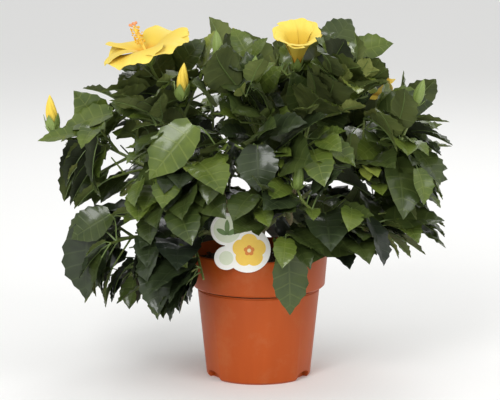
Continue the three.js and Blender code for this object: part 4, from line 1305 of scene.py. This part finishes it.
# %% The pot
POT_BASE_RADIUS, POT_WALL, FLOOR_THICKNESS, FOOT_EDGE = 49, 1.8, 2.4, 2
NOTCH_WIDTH, NOTCH_HEIGHT, NOTCH_DEPTH, NOTCH_SPRING, NOTCH_BEARINGS = 22, 8, 7, 0.35, (-150, -30, 90)
POT_STEPS, SOFT_EDGE, PAST_POT = 120, 0.35, 5
# radius and height: the collar's foot, its step and the rim, and the groove that is under the collar
COLLAR_FOOT, COLLAR = (57.4, 83), [(61.2, 85.8), (62.4, 87), (65, 118)]
GROOVE = [(57.3, 82), (56.6, 82.5), (56.6, 84.3)]
RIM_OUTSIDE, RIM_INSIDE, FLOOR_RADIUS = 64.4, 63.3, POT_BASE_RADIUS - 1.4


def drain_arch(bearing, grow):
    """A block with an arched top at the pot's foot, grown all round by a margin in millimetres."""
    half, spring = NOTCH_WIDTH / 2 + grow, NOTCH_HEIGHT * NOTCH_SPRING
    start, end = POT_BASE_RADIUS - NOTCH_DEPTH - grow, POT_BASE_RADIUS + 2 * PAST_POT
    bpy.ops.mesh.primitive_cylinder_add(vertices=48, radius=1, depth=1)
    block = bpy.context.object
    angle = math.radians(bearing)
    for vertex in block.data.vertices:
        across, up, out = vertex.co
        height = spring + up * (NOTCH_HEIGHT - spring + grow) if up > -0.01 else -PAST_POT
        out, across = mix(start, end, out + 0.5) * MM, across * half * MM
        vertex.co = (out * math.cos(angle) - across * math.sin(angle),
                     out * math.sin(angle) + across * math.cos(angle), height * MM)
    return edit(block, FACE_OUT)


outside = [(0, 0), (POT_BASE_RADIUS - FOOT_EDGE, 0), (POT_BASE_RADIUS, FOOT_EDGE), *GROOVE, *COLLAR,
           (RIM_OUTSIDE, POT_HEIGHT), (0, POT_HEIGHT)]
inside = [(0, FLOOR_THICKNESS), (FLOOR_RADIUS, FLOOR_THICKNESS)]
inside += [(radius - POT_WALL, height) for radius, height in [COLLAR_FOOT, *COLLAR]]
inside += [(RIM_INSIDE, POT_HEIGHT + PAST_POT), (0, POT_HEIGHT + PAST_POT)]
hollow = spun("hollow", inside, POT_STEPS)
combine(hollow, [drain_arch(bearing, POT_WALL) for bearing in NOTCH_BEARINGS], "DIFFERENCE")
pot = spun("nursery_pot", outside, POT_STEPS)
combine(pot, [drain_arch(bearing, 0) for bearing in NOTCH_BEARINGS] + [hollow], "DIFFERENCE")
soften(weld(pot), SOFT_EDGE)
print("faces of the pot:", len(pot.data.polygons))

# %% [markdown]
# The pot is polypropylene coloured with terracotta pigment. Moulding gives it a satin skin with faint
# upright flow lines, and handling leaves a thin dusty film in soft clouds. The colour is mixed from close
# shades so that the round wall doesn't look painted.

# %% Finish of the pot
def moulded_finish(name, light, dark, dust, roughness):
    """Satin moulded plastic: close shades in upright flow lines, a dusty film and a fine grain."""
    skin = Finish(name, {"IOR": 1.49, "Specular IOR Level": 0.25})
    flow = skin.noise(14, 3, skin.stretched(skin.place, (1, 1, 0.12)))
    film = skin.ramp(skin.noise(26, 6, roughness=0.7), 0.52, 0.8, 0.0, 0.5)
    dull = skin.ramp(film, 0.0, 0.5, roughness, roughness + 0.2)
    skin.tree.links.new(dull, skin.shader.inputs["Roughness"])
    return skin.done(skin.blend(film, skin.blend(flow, dark, light), dust), skin.noise(0.9), 0.25, 0.15)


pot.data.materials.append(
    moulded_finish("moulded_polypropylene_terracotta", "#b4511a", "#a24513", "#b06a40", 0.42))
hand_over(pot, ["pot"], 30)

# %% [markdown]
# Soft and loose things, such as soil, petals and cups, all start from two plain forms: a flat grid whose
# points are moved by a formula and which may get a thickness, and a coarse ball that is copied many times.
# Sculpting would give each its own shape by hand, but nothing that a later change of size could follow.

# %% Helpers for soft and loose things
def shaped_grid(name, across, along, place, closed=False):
    """A grid whose points go to place(u, v): u from -1 to 1 across, v from 0 to 1 along, in millimetres."""
    bpy.ops.object.select_all(action="DESELECT")
    bpy.ops.mesh.primitive_grid_add(x_subdivisions=across, y_subdivisions=along, size=2, calc_uvs=True)
    piece = bpy.context.object
    piece.name = piece.data.name = name
    flat = np.empty(len(piece.data.vertices) * 3)
    piece.data.vertices.foreach_get("co", flat)
    u, v = flat.reshape(-1, 3)[:, 0], flat.reshape(-1, 3)[:, 1] / 2 + 0.5
    piece.data.vertices.foreach_set("co", (place(u, v) * MM).ravel())
    return edit(piece, SEW, FACE_OUT) if closed else piece


def thicken(piece, thickness):
    """Gives a sheet its thickness, half to each side, with a closed rim."""
    return modify(piece, "SOLIDIFY", thickness=thickness * MM, offset=0)


def ball_pattern(detail):
    """The points and faces of a coarse ball of radius 1."""
    bpy.ops.mesh.primitive_ico_sphere_add(subdivisions=detail, radius=1)
    ball = bpy.context.object
    points = np.array([vertex.co for vertex in ball.data.vertices], float)
    faces = [list(face.vertices) for face in ball.data.polygons]
    bpy.data.objects.remove(ball)
    return points, faces


print("points of a coarse ball:", len(ball_pattern(1)[0]))

# %% [markdown]
# Potting soil is peat with bark crumbs and a few white beads of perlite. The solid keeps its place and gets
# the finish, and a loose top layer lies on it: an uneven skin, and crumbs that are all copies of one coarse
# ball, turned and squeezed by chance. A bump map alone would look like felt from the side.

# %% The soil
SOIL_RADIUS, STREWN_RADIUS = 60.4, 59
# number of crumbs and of beads of perlite, with the smallest and the largest radius
CRUMBS, BEADS = (460, 0.9, 3.4), (26, 0.9, 1.7)


def soil_skin(u, v):
    """An uneven round skin of soil, a little higher in the middle."""
    reach, angle = v * SOIL_RADIUS, u * math.pi
    x, y = reach * np.cos(angle), reach * np.sin(angle)
    bumps = np.sin(x * 0.42 + 1) * np.sin(y * 0.37) + 0.6 * np.sin(x * 0.9 + y * 0.7)
    bumps = bumps + 0.5 * np.sin(y * 1.3 - x)
    return np.stack([x, y, SOIL_TOP + 0.9 + (0.55 * bumps + 1.2 * (1 - v)) * (1 - v ** 8)], 1)


def strewn(name, count, smallest, largest, chance):
    """One mesh of many coarse balls, strewn over the soil, turned and squeezed by chance."""
    pattern, faces = ball_pattern(1)
    copies = []
    for _ in range(count):
        reach, angle = STREWN_RADIUS * math.sqrt(chance()), chance() * math.tau
        size = mix(smallest, largest, chance() ** 2)
        shape = pattern * (1 + 0.5 * np.sin(pattern[:, ::-1] * 3 + chance() * 9))
        shape = shape * (size, size * 0.8, size * 0.55)
        turn = chance() * math.tau
        x = shape[:, 0] * math.cos(turn) - shape[:, 1] * math.sin(turn) + reach * math.cos(angle)
        y = shape[:, 0] * math.sin(turn) + shape[:, 1] * math.cos(turn) + reach * math.sin(angle)
        copies.append(np.stack([x, y, shape[:, 2] + SOIL_TOP + 1.6 + chance() + size * 0.2], 1))
    return copies_piece(name, np.array(copies), faces)


def grainy_finish(name, light, dark, grain, roughness):
    """A dry crumbly matter: two shades by grain, with its relief."""
    skin = Finish(name, {"Roughness": roughness})
    noise = skin.noise(grain, 8, roughness=0.7)
    return skin.done(skin.blend(skin.ramp(noise, 0.35, 0.65), dark, light), noise, 0.8, 0.5)


soil_chance = seeded(77)
skin = thicken(shaped_grid("skin", 72, 28, soil_skin, closed=True), 0.8)
crumbs = strewn("crumbs", *CRUMBS, soil_chance)
beads = strewn("perlite_beads", *BEADS, soil_chance)
peat = grainy_finish("moist_peat_with_bark_crumbs", "#604733", "#2a1f17", 2.4, 0.9)
perlite = grainy_finish("expanded_perlite_matte", "#efece4", "#cfcabd", 0.8, 0.85)
for piece, finish in ((skin, peat), (crumbs, peat), (beads, perlite)):
    piece.data.materials.append(finish)
for slot in bpy.data.objects["potting_soil"].material_slots:
    slot.material = peat
hand_over(join([skin, crumbs], "peat_top_layer"), (), 25)
hand_over(beads, (), 25)

# %% [markdown]
# The label is a stiff card of three joined discs, with a tongue hooked over the rim. Its discs are one flat
# form, so booleans join them and a small bevel rounds the cut edge. The print is thin ink on the front: a
# plain five-lobed flower, three leaves and two plain discs, with no lettering. Each print is its own thin
# mesh, which stays sharp where a picture would blur.

# %% The label
CARD, CARD_EDGE = 0.9, 0.15
CARD_FRONT = -(POT_RIM_RADIUS + GAP + CARD)
TONGUE_X, TONGUE_WIDTH, HOOK_ROOM = -14, 9, 6
HOOK_BACK, HOOK_TOP = CARD_FRONT + POT_WALL + 2 * CARD + HOOK_ROOM, POT_HEIGHT + GAP + CARD


def card_disc(x, z, radius):
    """One of the discs of the card."""
    bpy.ops.mesh.primitive_cylinder_add(vertices=96, radius=radius * MM, depth=CARD * MM,
                                        rotation=(math.pi / 2, 0, 0),
                                        location=(x * MM, (CARD_FRONT + CARD / 2) * MM, z * MM))
    bpy.ops.object.transform_apply()
    return bpy.context.object


def card_bar(front, lowest):
    """A straight bar of the tongue, from its front and its lowest height to the hook's back and top."""
    low = np.array([TONGUE_X - TONGUE_WIDTH / 2, front, lowest])
    high = np.array([TONGUE_X + TONGUE_WIDTH / 2, HOOK_BACK, HOOK_TOP])
    bpy.ops.mesh.primitive_cube_add(size=1, location=(low + high) / 2 * MM, scale=(high - low) * MM)
    bpy.ops.object.transform_apply()
    return bpy.context.object


def coated_card(name, light, dark):
    """Coated card or ink on it: a smooth skin with a faint mottle of the print."""
    skin = Finish(name, {"Roughness": 0.42, "Coat Weight": 0.15})
    return skin.done(skin.blend(skin.noise(3.5, 6), dark, light), skin.noise(0.5), 0.15, 0.05)


bars = [card_bar(CARD_FRONT + CARD / 2, HOOK_TOP - CARD), card_bar(HOOK_BACK - CARD, SOIL_TOP + GAP)]
discs = [card_disc(*disc) for disc in LABEL_DISCS]
card = combine(discs[0], discs[1:] + bars, "UNION")
card.name = card.data.name = "label_card"
soften(card, CARD_EDGE, 50)
card.data.materials.append(coated_card("coated_card_cream_white", "#fdfcf8", "#f5f3ea"))
hand_over(card, ["plant_label"], 30)

# %% [markdown]
# A print is drawn from outlines given as a radius for each angle. They are printed in layers, so a later one
# lies a hair in front of those before it.

# %% The print on the label
INK = 0.05


def ink_shape(outline, layer):
    """A thin printed shape on the card, from the x and z of its outline."""
    bpy.ops.mesh.primitive_circle_add(vertices=len(outline), radius=1, fill_type="NGON")
    piece = bpy.context.object
    for vertex, (x, z) in zip(piece.data.vertices, outline):
        vertex.co = (x * MM, (CARD_FRONT - INK * (layer - 0.5)) * MM, z * MM)
    pull = {"TRANSFORM_OT_translate": {"value": (0, -INK * MM, 0)}}
    return edit(piece, (bpy.ops.mesh.extrude_region_move, pull), FACE_OUT)


def lobed(x, z, radius, lobes=1, depth=0.0):
    """Outline of a printed disc, or of a printed flower with rounded lobes."""
    angles = np.arange(90) / 90 * math.tau
    reach = radius * (1 - depth + depth * np.abs(np.cos((angles - math.pi / 2) * lobes / 2)) ** 0.55)
    return np.stack([x + reach * np.cos(angles), z + reach * np.sin(angles)], 1)


def leaf_mark(x, z, bearing, length, width):
    """Outline of a pointed printed leaf that starts at x and z."""
    around_leaf = np.arange(24) / 24 * math.tau
    along = (1 - np.cos(around_leaf)) / 2 * length
    across = np.sin(around_leaf) * np.abs(np.sin(around_leaf)) ** 0.4 * width / 2
    way = math.radians(bearing)
    return np.stack([x + along * math.cos(way) - across * math.sin(way),
                     z + along * math.sin(way) + across * math.cos(way)], 1)


(big_x, big_z, _), (middle_x, middle_z, middle), (small_x, small_z, small) = LABEL_DISCS
flower_at = (big_x + 1.5, big_z - 0.5)
marks = [leaf_mark(middle_x, middle_z - 5, *mark) for mark in ((30, 11, 4.6), (90, 14, 4.6), (150, 11, 4.6))]
# ink: its layer, its two close shades, its outlines
prints = {
    "pale_green": (1, "#e4ead2", "#d6dfc0", [lobed(middle_x, middle_z, middle - 2.6),
                                             lobed(small_x, small_z, small - 4.5)]),
    "yellow": (1, "#fad458", "#f4c642", [lobed(*flower_at, 15.5, 5, 0.24)]),
    "orange": (2, "#e48b2c", "#d8761f", [lobed(*flower_at, 5, 5, 0.35)]),
    "cream": (3, "#fbeeb4", "#f3e29a", [lobed(*flower_at, 1.8)]),
    "leaf_green": (2, "#6f9146", "#587a35", marks),
}
for ink, (layer, light, dark, outlines) in prints.items():
    printed = join([ink_shape(outline, layer) for outline in outlines], "label_print_" + ink)
    printed.data.materials.append(coated_card("offset_ink_" + ink, light, dark))
    hand_over(printed, (), 30)

# %% [markdown]
# A hibiscus flower has five petals that overlap like a fan round a long column of stamens, in a green cup
# with pointed lobes and a ring of thin bracts. Every soft part here starts as a flat grid, whose points are
# then moved by a formula, as a petal grows: narrow at the claw, broad and ruffled at the lip. Cloth tools
# could crumple a sheet, but a petal's form comes from growth, which a formula tells better.

# %% Petals
PETAL_LENGTH, PETAL_WIDTH, PETAL_THICKNESS, HEART = 44, 57, 0.35, 9
PETALS, PETAL_TURN, FIRST_PETAL = 5, 72, 20
# how steeply an open petal rises at shares of its length, in degrees, and how much more it sags in front
SLOPE_SHARES, SLOPES, SAGS = [0, 0.16, 0.4, 0.75, 1], [62, 34, 14, -6, -34], [0, 0, 8, 40, 80]


def from_axis(blossom, start, outward, sideways, height):
    """Places by a blossom's axis: so far up it, outward at an angle round it, and to the side of that."""
    out = around(blossom.axis, start)
    beside = np.cross(blossom.axis, out)
    return (blossom.place + blossom.axis * height[:, None] + out * outward[:, None]
            + beside * sideways[:, None])


def open_petal(blossom, angle, chance):
    """One petal of an open flower: rising from the heart, then curving down to a ruffled lip."""
    draws = [chance() for _ in range(4)]
    rows = np.linspace(0, 1, 101)
    sag = np.array(SAGS) * max(0, -around(blossom.axis, angle)[2])
    lean = np.radians(SLOPES - sag - np.array([0, 0, 0, 4 * draws[0], 9 * draws[1]]))
    slope = np.interp(rows, SLOPE_SHARES, lean)
    reach = np.concatenate([[0], np.cumsum(np.cos(slope))[:-1]]) / 100 * PETAL_LENGTH
    lift = np.concatenate([[0], np.cumsum(np.sin(slope))[:-1]]) / 100 * PETAL_LENGTH

    def place(u, v):
        half = PETAL_WIDTH / 2 * (0.13 + 0.87 * np.sin(np.minimum(1, v / 0.86) * math.pi / 2) ** 1.25)
        uneven = 0.02 * np.sin(u * 9 + draws[2] * 6) + 0.012 * np.sin(u * 23)
        along = v * (1 - 0.27 * np.abs(u) ** 2.6 + uneven)
        ruffle = 2.1 * np.sin(u * 4.6 + draws[3] * 6) + 1.1 * np.sin(u * 12 + draws[2] * 6) * v ** 3
        height = np.interp(along, rows, lift) + v ** 3 * ruffle
        height = height + u * 2.3 * np.sin(v * math.pi * 0.7) + 2.4 * u ** 2 * v ** 0.5
        return from_axis(blossom, angle, 1.6 + np.interp(along, rows, reach), u * half, HEART + height)

    return thicken(shaped_grid("petal", 22, 22, place), PETAL_THICKNESS)


print("petals of one flower:", PETALS)

# %% [markdown]
# In a half-open flower the petals are still rolled round each other as a trumpet, and in a bud they are
# wound up tight, with a furrow where each one's edge lies. Both are formulas round the blossom's axis too.
# The profile of a bud is noted as a few points, and a smooth curve is laid through them.

# %% The half-open flower and the buds
ROLLED_HALF_TURN, TRUMPET_LENGTH, LIP_STARTS = math.radians(58), 36, 0.72


def rolled_petal(blossom, angle, chance):
    """One petal of a half-open flower: a fifth of a trumpet, with one edge under the next petal."""
    draws = [chance() for _ in range(3)]

    def place(u, v):
        turn = u * ROLLED_HALF_TURN + v * 0.5
        lip = np.maximum(0, v - LIP_STARTS) / (1 - LIP_STARTS)
        radius = 3.2 + 13.8 * v ** 1.2 + 4.4 * lip ** 1.5 + u * (0.5 + 0.9 * v)
        radius = radius + lip * (0.9 * np.sin(u * 5 + draws[0] * 6) + 0.5 * np.sin(u * 12 + draws[1] * 6))
        height = HEART + TRUMPET_LENGTH * v - lip * (1.2 * u ** 2 + 4 * lip)
        height = height + lip * 0.9 * np.sin(u * 6 + draws[2] * 6)
        return from_axis(blossom, angle, radius * np.cos(turn), radius * np.sin(turn), height)

    return thicken(shaped_grid("petal", 20, 22, place), PETAL_THICKNESS)


def bud_place(blossom, profile, furrow_depth, twist):
    """Where the points of a closed bud go: a spun profile with five furrows that wind round it."""
    radii, heights = profile.T

    def place(u, v):
        share, angle = v * (len(profile) - 1), u * math.pi
        wave = np.abs(np.sin((angle + twist * v) * PETALS / 2)) ** 0.7
        radius = np.interp(share, range(len(profile)), radii) * (1 - furrow_depth + furrow_depth * wave)
        height = np.interp(share, range(len(profile)), heights)
        return from_axis(blossom, 0, radius * np.cos(angle), radius * np.sin(angle), height)

    return place


def smooth_profile(points, count=18):
    """A rounder profile through a few points."""
    points = np.array(points, float)
    ends = np.concatenate([points[:1] * 2 - points[1:2], points, points[-1:] * 2 - points[-2:-1]])
    shares = np.linspace(0, len(points) - 1, count)
    steps = np.minimum(shares.astype(int), len(points) - 2)
    t = (shares - steps)[:, None]
    a, b, c, d = (ends[steps + k] for k in range(4))
    curve = 2 * b + (c - a) * t + (2 * a - 5 * b + 4 * c - d) * t ** 2 + (3 * b - a - 3 * c + d) * t ** 3
    curve = curve * 0.5
    curve[:, 0] = np.maximum(curve[:, 0], 0)
    return curve


YELLOW_BUD = smooth_profile([(0, 3), (4.4, 9), (5.6, 16), (4.2, 25), (1.6, 32), (0, 35)])
petal_chance = seeded(2718)
petals, petal_buds = [], []
for blossom in blossoms:
    if blossom.kind in ("flower", "trumpet"):
        shape = open_petal if blossom.kind == "flower" else rolled_petal
        angles = [math.radians(PETAL_TURN * k + FIRST_PETAL) for k in range(PETALS)]
        petals += [shape(blossom, angle, petal_chance) for angle in angles]
    elif blossom.kind == "yellow_bud":
        petal_buds.append(shaped_grid("bud", 60, 30, bud_place(blossom, YELLOW_BUD, 0.2, 2.4), closed=True))
print("petals:", len(petals), "yellow buds:", len(petal_buds))

# %% [markdown]
# Petals are thin, matt and a little velvety, with fine veins that run out from the claw. The yellow is
# deepest and warmest in the throat and lighter at the lip. The grid's own UV map says how far along and
# across a petal each point lies, so throat and veins follow the petal however it curls.

# %% Finish of the petals
def petal_finish(name, lip, body, throat, throat_end):
    """A petal skin: throat, body and lip colours along it, with fine lengthways veins."""
    skin = Finish(name, {"Roughness": 0.55, "Specular IOR Level": 0.2})
    along = skin.node("SeparateXYZ", "Y", {"Vector": skin.uv})
    whole_petal = 1 / MM
    veins = skin.noise(whole_petal, 4, skin.stretched(skin.uv, (26, 1.6, 1)))
    yellow = skin.blend(skin.ramp(along, 0.45, 1.0), body, lip)
    inner = skin.ramp(along, throat_end, 0.03, interpolation_type="SMOOTHSTEP")
    lines = skin.ramp(veins, 0.5, 0.72, 0.0, 0.35)
    return skin.done(skin.blend(lines, skin.blend(inner, yellow, throat), body), veins, 0.45, 0.4)


yellow_petal = petal_finish("yellow_petal_velvety", "#ead364", "#e3c44a", "#d8942e", 0.34)
bud_petal = petal_finish("rolled_yellow_petal", "#efd560", "#e5c44a", "#b2b45c", 0.5)
kinds = [("flower_petals", petals, yellow_petal), ("yellow_bud_petals", petal_buds, bud_petal)]
for name, pieces, finish in kinds:
    piece = join(pieces, name)
    piece.data.materials.append(finish)
    hand_over(piece, foliage_nodes, 60)

# %% [markdown]
# The column is a slim tube. Its upper half carries dozens of short threads with a pollen sac on each, and at
# the end five longer threads with a velvety pad. The threads are strands, and the sacs and pads are small
# coarse balls, since so many of them are made.

# %% The column of stamens
COLUMN_FOOT, COLUMN_BEND, COLUMN_RADII = 6, 0.16, np.linspace(1.7, 0.9, 12)
# number of threads, length of the column, the share of it where threads start, their size
STAMENS = {"flower": (54, 30, 0.45, 1), "trumpet": (26, 17, 0.62, 0.5)}
THREAD_RADII, STIGMA_RADII, STIGMA_LENGTH, PAD_RADIUS = [0.32, 0.24, 0.2], [0.6, 0.42, 0.35], 5, 1.45


def balls(name, places, sizes, detail):
    """One mesh of small balls at places in millimetres."""
    pattern, faces = ball_pattern(detail)
    return copies_piece(name, np.array(places)[:, None] + pattern * np.array(sizes)[:, None, None], faces)


column_runs, thread_runs, sac_places, sac_sizes, pad_places = [], [], [], [], []
stamen_chance = seeded(31415)
for blossom in [item for item in blossoms if item.kind in STAMENS]:
    count, length, first, size = STAMENS[blossom.kind]
    leaning = blossom.axis + around(blossom.axis, 1) * COLUMN_BEND
    line = Limb(blossom.place + blossom.axis * COLUMN_FOOT, blossom.axis,
                blossom.place + leaning * (COLUMN_FOOT + length), unit(leaning))
    column_runs.append((line.points(np.linspace(0, 1, len(COLUMN_RADII))), COLUMN_RADII))
    for k in range(count):
        share = first + (0.98 - first) * (k + stamen_chance()) / count
        out = around(line.way(share), math.radians(SPIRAL_ANGLE * k) + stamen_chance())
        foot, reach = line.points(share), (3.2 + 2.4 * stamen_chance()) * size
        tip = foot + unit(out + line.way(share) * 0.45) * reach
        thread_runs.append((np.array([foot, mix(foot, tip, 0.5), tip]), THREAD_RADII))
        sac_places.append(tip)
        sac_sizes.append(0.75 + 0.3 * stamen_chance())
    end, way = line.points(1), line.way(1)
    for k in range(PETALS):
        tip = end + unit(way + around(way, math.radians(PETAL_TURN * k)) * 0.75) * STIGMA_LENGTH
        thread_runs.append((np.array([end - way, mix(end, tip, 0.45), tip]), STIGMA_RADII))
        pad_places.append(tip)
stamen_pieces = [
    (strands("stamen_columns", column_runs, 4),
     petal_finish("stamen_column_waxy", "#f6da6a", "#f2cd58", "#e6a83a", 0.2)),
    (strands("stamen_threads", thread_runs, 0),
     grainy_finish("stamen_thread", "#f7df86", "#eecb62", 1.2, 0.6)),
    (balls("pollen_sacs", sac_places, sac_sizes, 1),
     grainy_finish("pollen_dusty_yellow", "#f5c93f", "#dea11f", 0.5, 0.95)),
    (balls("stigma_pads", pad_places, [PAD_RADIUS] * len(pad_places), 2),
     grainy_finish("stigma_pad_velvety_orange", "#eea878", "#dd8a58", 0.4, 0.9)),
]
for piece, finish in stamen_pieces:
    piece.data.materials.append(finish)
    hand_over(piece, foliage_nodes)

# %% [markdown]
# Below the petals sits the cup: five pointed lobes, and outside it a ring of seven thin bracts. A green bud
# is the same cup, still closed over the petals. Cup, bracts and bud share one living green skin.

# %% Cups, bracts and green buds
GREEN_BUD = smooth_profile([(0, -1), (3.2, 0.5), (4.9, 7), (4.8, 13), (3, 20), (0, 25.5)])
# radius and height of the cup, by kind of blossom
CUP_REACH = {"flower": (5.2, 12.5), "trumpet": (5, 17), "yellow_bud": (6.4, 17)}
CUP_FOOT, CUP_WALL = 1.6, 0.45
BRACTS, BRACT_LENGTH, BRACT_THICKNESS = 7, 8.5, 0.4


def cup_place(blossom, widest, tallest):
    """Where the points of an open cup go: a small bell whose rim runs out in five points."""
    first_petal = math.radians(FIRST_PETAL)

    def place(u, v):
        angle = u * math.pi
        lobes = 1 - np.abs(((u + 1) * 2.5) % 1 * 2 - 1)
        height = -1 + v * (tallest * (0.5 + 0.5 * lobes ** 0.8) + 1)
        radius = CUP_FOOT + (widest - CUP_FOOT) * np.sin(np.minimum(1, v * 1.5) * math.pi / 2) + 0.8 * v ** 3
        return from_axis(blossom, first_petal, radius * np.cos(angle), radius * np.sin(angle), height)

    return place


def bract_place(blossom, angle):
    """Where the points of a bract go: a thin green strap that leaves the cup's foot and curves up."""
    def place(u, v):
        half = 0.75 * np.sin(math.pi * np.minimum(1, 0.18 + v * 0.82)) ** 0.6 + 0.05
        outward, height = 1.8 + BRACT_LENGTH * 0.62 * v ** 0.8, -0.5 + BRACT_LENGTH * 0.8 * v ** 1.5
        return from_axis(blossom, angle, outward, u * half, height)

    return place


cup_parts = []
for number, blossom in enumerate(blossoms):
    if blossom.kind == "green_bud":
        cup_parts.append(shaped_grid("cup", 50, 22, bud_place(blossom, GREEN_BUD, 0.13, 0.3), closed=True))
    else:
        cup = shaped_grid("cup", 50, 10, cup_place(blossom, *CUP_REACH[blossom.kind]), closed=True)
        cup_parts.append(thicken(cup, CUP_WALL))
    for k in range(BRACTS):
        angle = math.radians(k * 360 / BRACTS + number * 31)
        cup_parts.append(thicken(shaped_grid("bract", 3, 8, bract_place(blossom, angle)), BRACT_THICKNESS))
cups = join(cup_parts, "green_cups_and_buds")
cups.data.materials.append(shoot_finish("living_green_cup_skin", "#86994c", "#657a3a", "#9aa560", 1.3))
hand_over(cups, foliage_nodes, 50)

# %% [markdown]
# At the end the scene is brought up to date. The visual model has to stay as large as the
# solids.

# %% Bring the scene up to date
bpy.context.view_layer.update()
